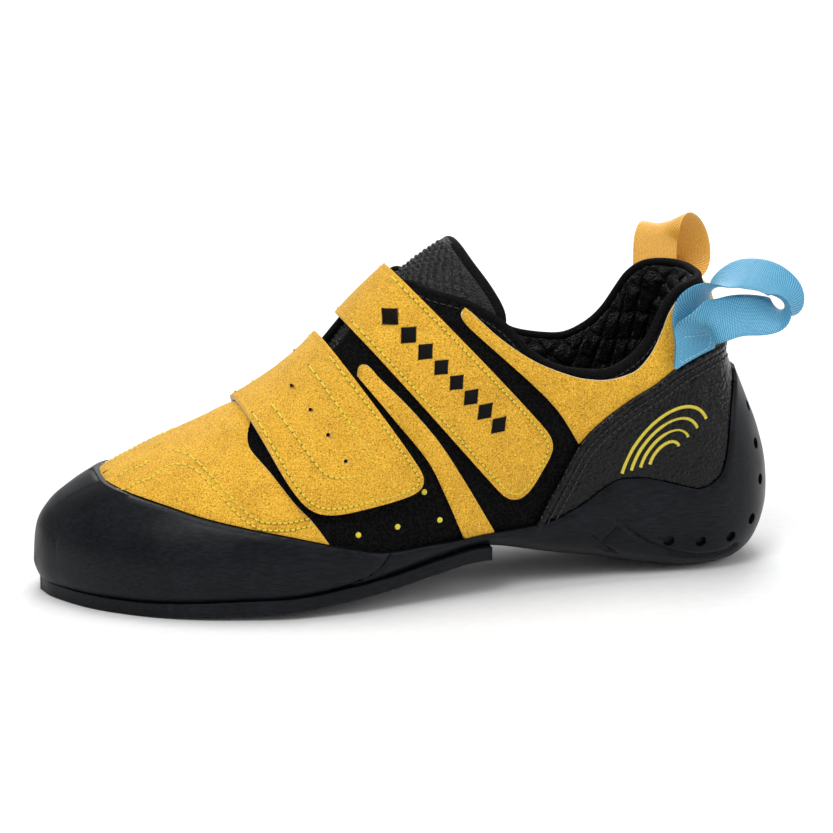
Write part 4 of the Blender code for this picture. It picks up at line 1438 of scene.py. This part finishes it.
def make_stripes():
    """The narrow suede strips between the straps."""
    for name, node_name, way in (("outer_stripe", "lateral_stripe", OUTER),
                                 ("inner_stripe", "medial_stripe", INNER)):
        last = Last(230, 220, place_spine(0.36), place_spine(0.62))
        ends = sorted((0.0, way * BEYOND))
        cutter = prism("stripe", STRIPE_EDGE, *ends)
        stripe = layer(name, last, SKIN, SUEDE_OUT, (cutter, above_rand()))
        relief(stripe, outer_only(soften((STRIPE_EDGE,), SUEDE_OUT), SUEDE_OUT))
        finer(stripe, "suede", "edge")
        edge_faces(stripe)
        settle(stripe, "suede", node_name)


def make_quarter():
    """The suede below the collar."""
    last = Last(250, 210, 0.0, place_spine(0.50))
    region = [side(BEHIND, 0.955), *QUARTER_UP, *QUARTER_TIP, side(0.20, 0.30), side(BEHIND, 0.30)]
    quarter = layer("quarter_suede", last, SKIN, SUEDE_OUT, (sky_over(COUNTER_UP), region))
    edge = soften((QUARTER_UP, QUARTER_TIP), SUEDE_OUT)
    valley = troughs((beside(QUARTER_UP, 0.0020),), 0.0008, 0.0002)
    swell = bumps((0, 0.30, 0.66, 0.012, 0.008, 0.0004), (0, 0.36, 0.72, 0.008, 0.012, 0.0004))
    relief(quarter, outer_only(together(edge, valley, swell), SUEDE_OUT))
    finer(quarter, "suede", "edge")
    edge_faces(quarter)
    settle(quarter, "suede", "rear_quarter")


def make_counter():
    """The grained leather under the quarter, its rolled upper seam and sewn arcs."""
    last = Last(250, 220, 0.0, place_spine(0.42))
    region = [side(BEHIND, 0.785), *beside(COUNTER_UP, GAP), side(BEHIND, 0.0)]
    counter = layer("counter_leather", last, SKIN, LEATHER_OUT, (above_rand(), region))
    edge = soften((RAND_TOP,), LEATHER_OUT)
    swell = bumps((0, 0.26, 0.44, 0.010, 0.008, 0.0004), (0, 0.16, 0.52, 0.012, 0.010, 0.0004))
    creases = troughs([side_line(line, 8) for line in CREASES], 0.0011, 0.00030)
    relief(counter, outer_only(together(edge, swell, creases), LEATHER_OUT))
    finer(counter, "leather")
    settle(counter, "black_leather", "heel_counter")
    rolls = Bundle()
    line = beside(COUNTER_UP, GAP)
    paths = [line_on(beside(line, 0.0010), way, LEATHER_OUT + 0.0002, 0.0012)
             for way in (OUTER, INNER)]
    path = np.vstack((paths[0][0][::-1], paths[1][0]))
    normal = np.vstack((paths[0][1][::-1], paths[1][1]))
    path, normal = rounded(path, normal, 0.0012, 4)
    rolls.cord(path, normal, 0.00135, flat=0.75, sides=14, ends=0.5)
    rolls.build("rolled_seam", "leather", "black_leather")
    seams = Bundle()
    for way in (OUTER, INNER):
        for shift in (0.0032, 0.0054):
            seams.seam(beside(line, shift), way, LEATHER_OUT, pitch=0.0021, radius=0.00026)
    seams.build("counter_seams", "black_thread", "black_leather")
    arcs = Bundle()
    for way in (OUTER, INNER):
        for number in range(4):
            size = 1.0 - 0.22 * number
            middle = side(0.178, 0.415)
            angles = np.linspace(math.radians(18), math.radians(162), 40)
            x = middle[0] - 0.0155 * size * np.cos(angles)
            z = middle[1] + 0.0150 * size * np.sin(angles) + (x - middle[0]) * 0.55
            satin(arcs, np.column_stack((x, z)), way, LEATHER_OUT, 0.0011)
    arcs.build("sewn_arcs", "yellow_stitch", "black_leather")


def satin(bundle, line, way, offset, width, pitch=0.00042):
    """Satin stitch: threads laid side by side across a line."""
    line = even(line, pitch)
    first, first_normal, first_on = spots(beside(line, width / 2), way, offset)
    second, second_normal, second_on = spots(beside(line, -width / 2), way, offset)
    for number in range(len(line)):
        if first_on[number] and second_on[number]:
            bundle.stitch(first[number], first_normal[number], second[number],
                          second_normal[number], SATIN_RADIUS, 1.2)


def strap(name, node_name, outline, inside, outside, span):
    """A suede strap with rounded raw edges."""
    last = Last(260, 240, place_spine(span[0]), place_spine(span[1]))
    cutters = [prism("hole", circle) for circle in strap_holes(node_name)]
    solid = layer(name, last, inside, outside, (outline,), cutters)
    edge = soften((outline,), outside, 0.0011, 0.00035)
    relief(solid, outer_only(together(edge, *strap_waves(node_name, outline)), outside))
    finer(solid, "suede", "edge")
    edge_faces(solid)
    return settle(solid, "suede", node_name)


def strap_holes(node_name):
    """Small pinholes down the front strap's middle."""
    if node_name != "front_strap":
        return []
    circles = []
    for along, high in PINHOLES:
        x, z = side(along, high)
        angles = np.linspace(0, 2 * math.pi, 13)[:-1]
        circles.append([(x + PINHOLE_RADIUS * math.cos(a), z + PINHOLE_RADIUS * math.sin(a))
                        for a in angles])
    return circles


def strap_waves(node_name, outline):
    """The straps' soft unevenness and the valley of their edge stitches."""
    line = inset(outline[:-1], STITCH_INSET)
    waves = [troughs((np.vstack((line, line[:1])),), 0.0007, 0.00022)]
    if node_name == "front_strap":
        waves.append(bumps((OUTER, 0.60, 0.52, 0.010, 0.014, 0.0005),
                           (OUTER, 0.565, 0.44, 0.007, 0.006, 0.0006)))
    else:
        waves.append(bumps((OUTER, 0.385, 0.42, 0.008, 0.010, 0.0005),
                           (OUTER, 0.48, 0.74, 0.010, 0.014, 0.0003)))
    return waves


def make_straps():
    """Both closing straps, their stitches and the sewn lozenges."""
    strap("front_strap_suede", "front_strap", FRONT_STRAP_EDGE, FRONT_STRAP_IN,
          FRONT_STRAP_OUT, (0.48, 0.76))
    strap("rear_strap_suede", "rear_strap", REAR_STRAP_EDGE, SKIN, REAR_STRAP_OUT, (0.28, 0.64))
    seams, hole_shades = Bundle(), Bundle()
    for outline, outside in ((FRONT_STRAP_EDGE, FRONT_STRAP_OUT),
                             (REAR_STRAP_EDGE, REAR_STRAP_OUT)):
        line = inset(outline[:-1], STITCH_INSET)
        for way in (OUTER, INNER):
            seams.seam(np.vstack((line, line[:1])), way, outside - 0.00018, hole_shades=hole_shades)
    box = straight_sides(FRONT_BOX)
    for way in (OUTER, INNER):
        seams.seam(box, way, FRONT_STRAP_OUT - 0.00002, hole_shades=hole_shades)
    seams.build("strap_seams", "thread", "suede")
    # The straps' needle holes as painted shade.
    hole_shades.build("strap_needle_hole_shade", "needle_shade", "suede")
    badge = Bundle()
    for number in range(8):
        share = number / 7
        middle = side(blend(0.540, 0.412, share), blend(0.925, 0.585, share))
        lozenge(badge, middle, 0.0040, 0.0025, math.radians(-47))
    badge.build("sewn_lozenges", "embroidery", "suede")


def lozenge(bundle, middle, long, short, slant):
    """A sewn diamond of threads laid side by side."""
    count = 15
    ahead = np.array([math.cos(slant), math.sin(slant)])
    across = np.array([-ahead[1], ahead[0]])
    for number in range(count):
        share = (number / (count - 1)) * 2 - 1
        half = long * (1 - abs(share)) + 0.0004
        centre = np.array(middle) + ahead * share * short
        ends = np.array((centre - across * half, centre + across * half))
        place, normal, on_it = spots(ends, OUTER, REAR_STRAP_OUT)
        if on_it.all():
            bundle.stitch(place[0], normal[0], place[1], normal[1], SATIN_RADIUS, 1.3)


def tape_line(patch, folds, way, back):
    """A tape's middle and the direction of its width, up its patch, round and back down.

    back is 1 where the tape comes down over its start, and -1 where it comes down under it
    with its edges crossed over.
    """
    rows = []
    start, end = (0, 1) if back > 0 else (1, 0)
    for lift, places, turned in ((start, patch, 1), (end, patch[::-1], back)):
        offset = TAPE_IN + TAPE / 2 + lift * PLY_STEP
        part = []
        for along, high in places:
            middle = side(along, high)
            three = np.array((middle, (middle[0] + TAPE_WIDTH / 2, middle[1]),
                              (middle[0] - TAPE_WIDTH / 2, middle[1])))
            place, _, _ = spots(three, way, offset)
            run = (place[1] - place[2]) * turned
            part.append((*place[0], *(run / np.linalg.norm(run))))
        rows.append(part)
    free = []
    for fold in folds:
        x, z = side(fold.along, fold.high)
        width = np.array((fold.run, -way * fold.side, fold.rise))
        free.append((x, way * fold.across * BALL_WIDTH, z, *(width / np.linalg.norm(width))))
    line = flow(np.array([*rows[0], *free, *rows[1]]), 16)
    for _ in range(110):
        line[1:-1] = (line[:-2] + 2 * line[1:-1] + line[2:]) / 4
    centre, width = line[:, :3], line[:, 3:]
    run = np.gradient(centre, axis=0)
    run /= np.linalg.norm(run, axis=1)[:, None]
    width = width - run * (width * run).sum(1)[:, None]
    width /= np.linalg.norm(width, axis=1)[:, None]
    return centre, width, np.cross(run, width)


def woven_tape(name, centre, width, thick):
    """A closed tape with thicker selvedges, and its length and width as UVs in metres."""
    steps = np.linalg.norm(np.diff(centre, axis=0), axis=1)
    length = np.concatenate(([0.0], np.cumsum(steps)))
    across = np.linspace(-1, 1, 21)
    profile = [(a, 1.0) for a in across] + [(a, -1.0) for a in across[::-1]]
    points, uvs = [], []
    for number in range(len(centre)):
        for share, face_side in profile:
            rim = math.sqrt(max(1.0 - abs(share) ** 10, 0.04))
            selvedge = 1.0 + 0.18 * math.exp(-((abs(share) - 0.90) / 0.05) ** 2)
            lift = face_side * rim * selvedge * TAPE / 2 * 0.92
            points.append(centre[number] + width[number] * share * TAPE_WIDTH / 2
                          + thick[number] * lift)
            uvs.append((length[number], share * TAPE_WIDTH / 2))
    ring = len(profile)
    faces = []
    for number in range(len(centre) - 1):
        for corner in range(ring):
            after = (corner + 1) % ring
            faces.append((number * ring + corner, number * ring + after,
                          (number + 1) * ring + after, (number + 1) * ring + corner))
    faces.append(tuple(range(ring)))
    end = (len(centre) - 1) * ring
    faces.append(tuple(range(end + ring - 1, end - 1, -1)))
    tape = mesh_object(name, points, faces)
    layer_uv = tape.data.uv_layers.new(name="UVMap")
    corners = np.empty(len(tape.data.loops), np.int32)
    tape.data.loops.foreach_get("vertex_index", corners)
    layer_uv.data.foreach_set("uv", np.array(uvs)[corners].ravel())
    right_way_out(tape)
    return tape


def patch_box(patch, line):
    """The box of stitches on a tape's patch, kept above a line."""
    corners = [side(along, high) for along, high in patch]
    zs = [z for _, z in corners]
    half = TAPE_WIDTH / 2 - STITCH_INSET
    low_x, high_x = corners[0][0], corners[-1][0]
    low_z, high_z = min(zs) + 0.0012, max(zs) - 0.0008
    box = np.array(((low_x - half, low_z), (low_x + half, low_z), (high_x + half, high_z),
                    (high_x - half, high_z), (low_x - half, low_z)))
    limit = np.interp(-box[:, 0], -line[:, 0], line[:, 1]) + 0.0012
    box[:, 1] = np.maximum(box[:, 1], limit)
    return box


def make_loop(name, node_name, patch, folds, way, back, finish, slot, stitch):
    """A woven tape cut off along the counter's seam, with stitches on its patch."""
    tape = woven_tape(name, *tape_line(patch, folds, way, back))
    line = beside(COUNTER_UP, -0.0010)
    under = prism("under_counter", [side(BEHIND, 0.779), *line, side(0.366, 0.0),
                                    side(BEHIND, 0.0)])
    cut_by(tape, under, "DIFFERENCE")
    remove(under)
    finer(tape, finish)
    settle(tape, slot, node_name)
    tacks = Bundle()
    tacks.seam(patch_box(patch, line), way, TAPE_IN + TAPE + PLY_STEP, pitch=0.0016,
               radius=0.00022)
    tacks.build(name + "_tacks", stitch, slot)


def make_loops():
    """The blue and the yellow pull loops at the heel."""
    make_loop("outer_pull_tape", "lateral_pull_loop", OUTER_PATCH, OUTER_FOLDS, OUTER, -1, "blue",
              "blue_webbing", "blue_thread")
    make_loop("inner_pull_tape", "medial_pull_loop", INNER_PATCH, INNER_FOLDS, INNER, 1, "yellow",
              "yellow_webbing", "thread")


# The studio

Light = namedtuple("Light", "name place size power")
LIGHTS = (
    Light("key", (-0.8, -0.9, 1.4), 0.7, 15.0),
    Light("fill", (1.1, -0.9, 0.8), 0.9, 7.0),
    Light("top", (-0.1, 0.2, 1.7), 1.0, 15.0),
    Light("rim", (0.3, 1.1, 0.9), 0.8, 8.0),
)
AIM = Vector((-0.09975, 0.0, 0.0534))
CAMERA_TURN, CAMERA_TILT, CAMERA_AWAY = math.radians(-14), math.radians(15), 1.2
LENS, SENSOR = 155.4, 36.0
WORLD_POWER = 0.40
FLOOR_FRONT, FLOOR_BACK, SWEEP, BACKDROP_TOP = -6.0, 1.2, 0.8, 5.0
FLOOR_HALF_WIDTH, FLOOR_DROP = 6.0, 0.00002


def studio_floor():
    """Pale paper that sweeps up behind the shoe."""
    mesh = bpy.data.meshes.new("studio_floor")
    outline = [(FLOOR_FRONT, 0.0), (FLOOR_BACK, 0.0)]
    outline += [(FLOOR_BACK + SWEEP * math.sin(a), SWEEP - SWEEP * math.cos(a))
                for a in np.linspace(0, math.pi / 2, 24)[1:]]
    outline += [(FLOOR_BACK + SWEEP, BACKDROP_TOP)]
    points = [(x, y, z - FLOOR_DROP) for x in (-FLOOR_HALF_WIDTH, FLOOR_HALF_WIDTH)
              for y, z in outline]
    count = len(outline)
    faces = [(n, n + 1, count + n + 1, count + n) for n in range(count - 1)]
    mesh.from_pydata(points, [], [face[::-1] for face in faces])
    mesh.shade_smooth()
    material, tree, shader = shader_material("pale_paper", Roughness=0.9)
    grain = noise(tree, coords(tree), 0.004, 2.0)
    tone = ramp(tree, grain, (0.3, (0.80, 0.80, 0.80)), (0.7, (0.83, 0.83, 0.83)))
    tree.links.new(tone, shader.inputs["Base Color"])
    mesh.materials.append(material)
    return bpy.data.objects.new("studio_floor", mesh)


def make_stage():
    """The pale floor, the soft lights and the camera."""
    scene = bpy.context.scene
    ground = studio_floor()
    PIECES.objects.link(ground)
    world = bpy.data.worlds.new("studio")
    world.use_nodes = True
    background = world.node_tree.nodes["Background"]
    background.inputs[0].default_value = (1.0, 1.0, 1.0, 1.0)
    background.inputs[1].default_value = WORLD_POWER
    scene.world = world
    for light in LIGHTS:
        lamp = bpy.data.lights.new(light.name, "AREA")
        lamp.size = light.size
        lamp.energy = light.power
        holder = bpy.data.objects.new(light.name, lamp)
        holder.location = light.place
        towards = AIM - Vector(light.place)
        holder.rotation_euler = towards.to_track_quat("-Z", "Y").to_euler()
        PIECES.objects.link(holder)
    lens = bpy.data.cameras.new("product_camera")
    lens.sensor_width = SENSOR
    lens.lens = LENS
    lens.clip_start, lens.clip_end = 0.05, 20.0
    camera = bpy.data.objects.new("product_camera", lens)
    way = Vector((math.sin(CAMERA_TURN) * math.cos(CAMERA_TILT),
                  -math.cos(CAMERA_TURN) * math.cos(CAMERA_TILT), math.sin(CAMERA_TILT)))
    camera.location = AIM + way * CAMERA_AWAY
    camera.rotation_euler = (-way).to_track_quat("-Z", "Y").to_euler()
    PIECES.objects.link(camera)
    scene.camera = camera
    scene.view_settings.view_transform = "Standard"
    scene.view_settings.look = "None"


# The add-on

class ShoeColours(bpy.types.PropertyGroup):
    """The colours a wearer may choose."""

    suede: bpy.props.FloatVectorProperty(
        name="Suede", description="Colour of the suede", subtype="COLOR", size=3,
        min=0.0, max=1.0, default=linear(211, 161, 50))
    outer_loop: bpy.props.FloatVectorProperty(
        name="Outer loop", description="Colour of the outer pull loop", subtype="COLOR", size=3,
        min=0.0, max=1.0, default=linear(52, 144, 184))
    inner_loop: bpy.props.FloatVectorProperty(
        name="Inner loop", description="Colour of the inner pull loop", subtype="COLOR", size=3,
        min=0.0, max=1.0, default=linear(222, 160, 52))


class ShoeSizes(bpy.types.PropertyGroup):
    """The sizes of the trimmings that a maker may choose."""

    quilt_pad: bpy.props.FloatProperty(
        name="Quilt pad", description="Distance between the seams of the lining's quilting",
        unit="LENGTH", min=0.004, max=0.020, precision=4, default=QUILT_PAD)
    binding_width: bpy.props.FloatProperty(
        name="Binding width", description="Thickness of the collar's bound edge",
        unit="LENGTH", min=0.0022, max=0.004, precision=4, default=BINDING_WIDTH)
    tongue_cell: bpy.props.FloatProperty(
        name="Tongue cell", description="Size of the raised cells on the tongue",
        unit="LENGTH", min=0.002, max=0.008, precision=4, default=TONGUE_CELL)


class SHOE_OT_upper(bpy.types.Operator):
    """Makes the knitted upper, its bound edges and its round tacks"""

    bl_idname = "shoe.upper"
    bl_label = "Knitted upper"

    def execute(self, context):
        make_upper()
        return {"FINISHED"}


class SHOE_OT_lining(bpy.types.Operator):
    """Makes the quilted lining inside the collar"""

    bl_idname = "shoe.lining"
    bl_label = "Collar lining"

    def execute(self, context):
        make_lining()
        return {"FINISHED"}


class SHOE_OT_tongue(bpy.types.Operator):
    """Makes the padded tongue and its binding"""

    bl_idname = "shoe.tongue"
    bl_label = "Tongue"

    def execute(self, context):
        make_tongue()
        return {"FINISHED"}


class SHOE_OT_insole(bpy.types.Operator):
    """Makes the insole board with its cloth"""

    bl_idname = "shoe.insole"
    bl_label = "Insole"

    def execute(self, context):
        make_insole()
        return {"FINISHED"}


class SHOE_OT_outsole(bpy.types.Operator):
    """Makes the rubber plate under the forefoot"""

    bl_idname = "shoe.outsole"
    bl_label = "Sole plate"

    def execute(self, context):
        make_outsole()
        return {"FINISHED"}


class SHOE_OT_rands(bpy.types.Operator):
    """Makes the toe's rand and the moulded heel cup"""

    bl_idname = "shoe.rands"
    bl_label = "Rands"

    def execute(self, context):
        make_rands()
        return {"FINISHED"}


class SHOE_OT_vamp(bpy.types.Operator):
    """Makes the suede over the toes with its stitches"""

    bl_idname = "shoe.vamp"
    bl_label = "Vamp"

    def execute(self, context):
        make_vamp()
        return {"FINISHED"}


class SHOE_OT_stripes(bpy.types.Operator):
    """Makes the suede strip between the straps on each side"""

    bl_idname = "shoe.stripes"
    bl_label = "Stripes"

    def execute(self, context):
        make_stripes()
        return {"FINISHED"}


class SHOE_OT_quarter(bpy.types.Operator):
    """Makes the suede below the collar"""

    bl_idname = "shoe.quarter"
    bl_label = "Rear quarter"

    def execute(self, context):
        make_quarter()
        return {"FINISHED"}


class SHOE_OT_counter(bpy.types.Operator):
    """Makes the leather at the heel, its seams and its arcs"""

    bl_idname = "shoe.counter"
    bl_label = "Heel counter"

    def execute(self, context):
        make_counter()
        return {"FINISHED"}


class SHOE_OT_straps(bpy.types.Operator):
    """Makes both closing straps with their stitches and lozenges"""

    bl_idname = "shoe.straps"
    bl_label = "Straps"

    def execute(self, context):
        make_straps()
        return {"FINISHED"}


class SHOE_OT_loops(bpy.types.Operator):
    """Makes both woven pull loops"""

    bl_idname = "shoe.loops"
    bl_label = "Pull loops"

    def execute(self, context):
        make_loops()
        return {"FINISHED"}


class SHOE_OT_stage(bpy.types.Operator):
    """Sets up the floor, the lights and the camera"""

    bl_idname = "shoe.stage"
    bl_label = "Studio"

    def execute(self, context):
        make_stage()
        return {"FINISHED"}


OPERATORS = (
    SHOE_OT_upper, SHOE_OT_lining, SHOE_OT_tongue, SHOE_OT_insole,
    SHOE_OT_outsole, SHOE_OT_rands, SHOE_OT_vamp, SHOE_OT_stripes,
    SHOE_OT_quarter, SHOE_OT_counter, SHOE_OT_straps, SHOE_OT_loops, SHOE_OT_stage,
)


class SHOE_PT_panel(bpy.types.Panel):
    """Lists the shoe's pieces in the sidebar."""

    bl_label = "Climbing shoe"
    bl_idname = "SHOE_PT_panel"
    bl_space_type = "VIEW_3D"
    bl_region_type = "UI"
    bl_category = "Shoe"

    def draw(self, context):
        for name in ("suede", "outer_loop", "inner_loop"):
            self.layout.prop(context.scene.shoe_colours, name)
        for name in ("quilt_pad", "binding_width", "tongue_cell"):
            self.layout.prop(context.scene.shoe_sizes, name)
        for kind in OPERATORS:
            self.layout.operator(kind.bl_idname)


def register():
    bpy.utils.register_class(ShoeColours)
    bpy.utils.register_class(ShoeSizes)
    bpy.types.Scene.shoe_colours = bpy.props.PointerProperty(type=ShoeColours)
    bpy.types.Scene.shoe_sizes = bpy.props.PointerProperty(type=ShoeSizes)
    for kind in OPERATORS:
        bpy.utils.register_class(kind)
    bpy.utils.register_class(SHOE_PT_panel)


def unregister():
    bpy.utils.unregister_class(SHOE_PT_panel)
    for kind in reversed(OPERATORS):
        bpy.utils.unregister_class(kind)
    del bpy.types.Scene.shoe_sizes
    del bpy.types.Scene.shoe_colours
    bpy.utils.unregister_class(ShoeSizes)
    bpy.utils.unregister_class(ShoeColours)


def main():
    register()
    for kind in OPERATORS:
        getattr(bpy.ops.shoe, kind.bl_idname.partition(".")[2])()


if __name__ == "__main__":
    main()
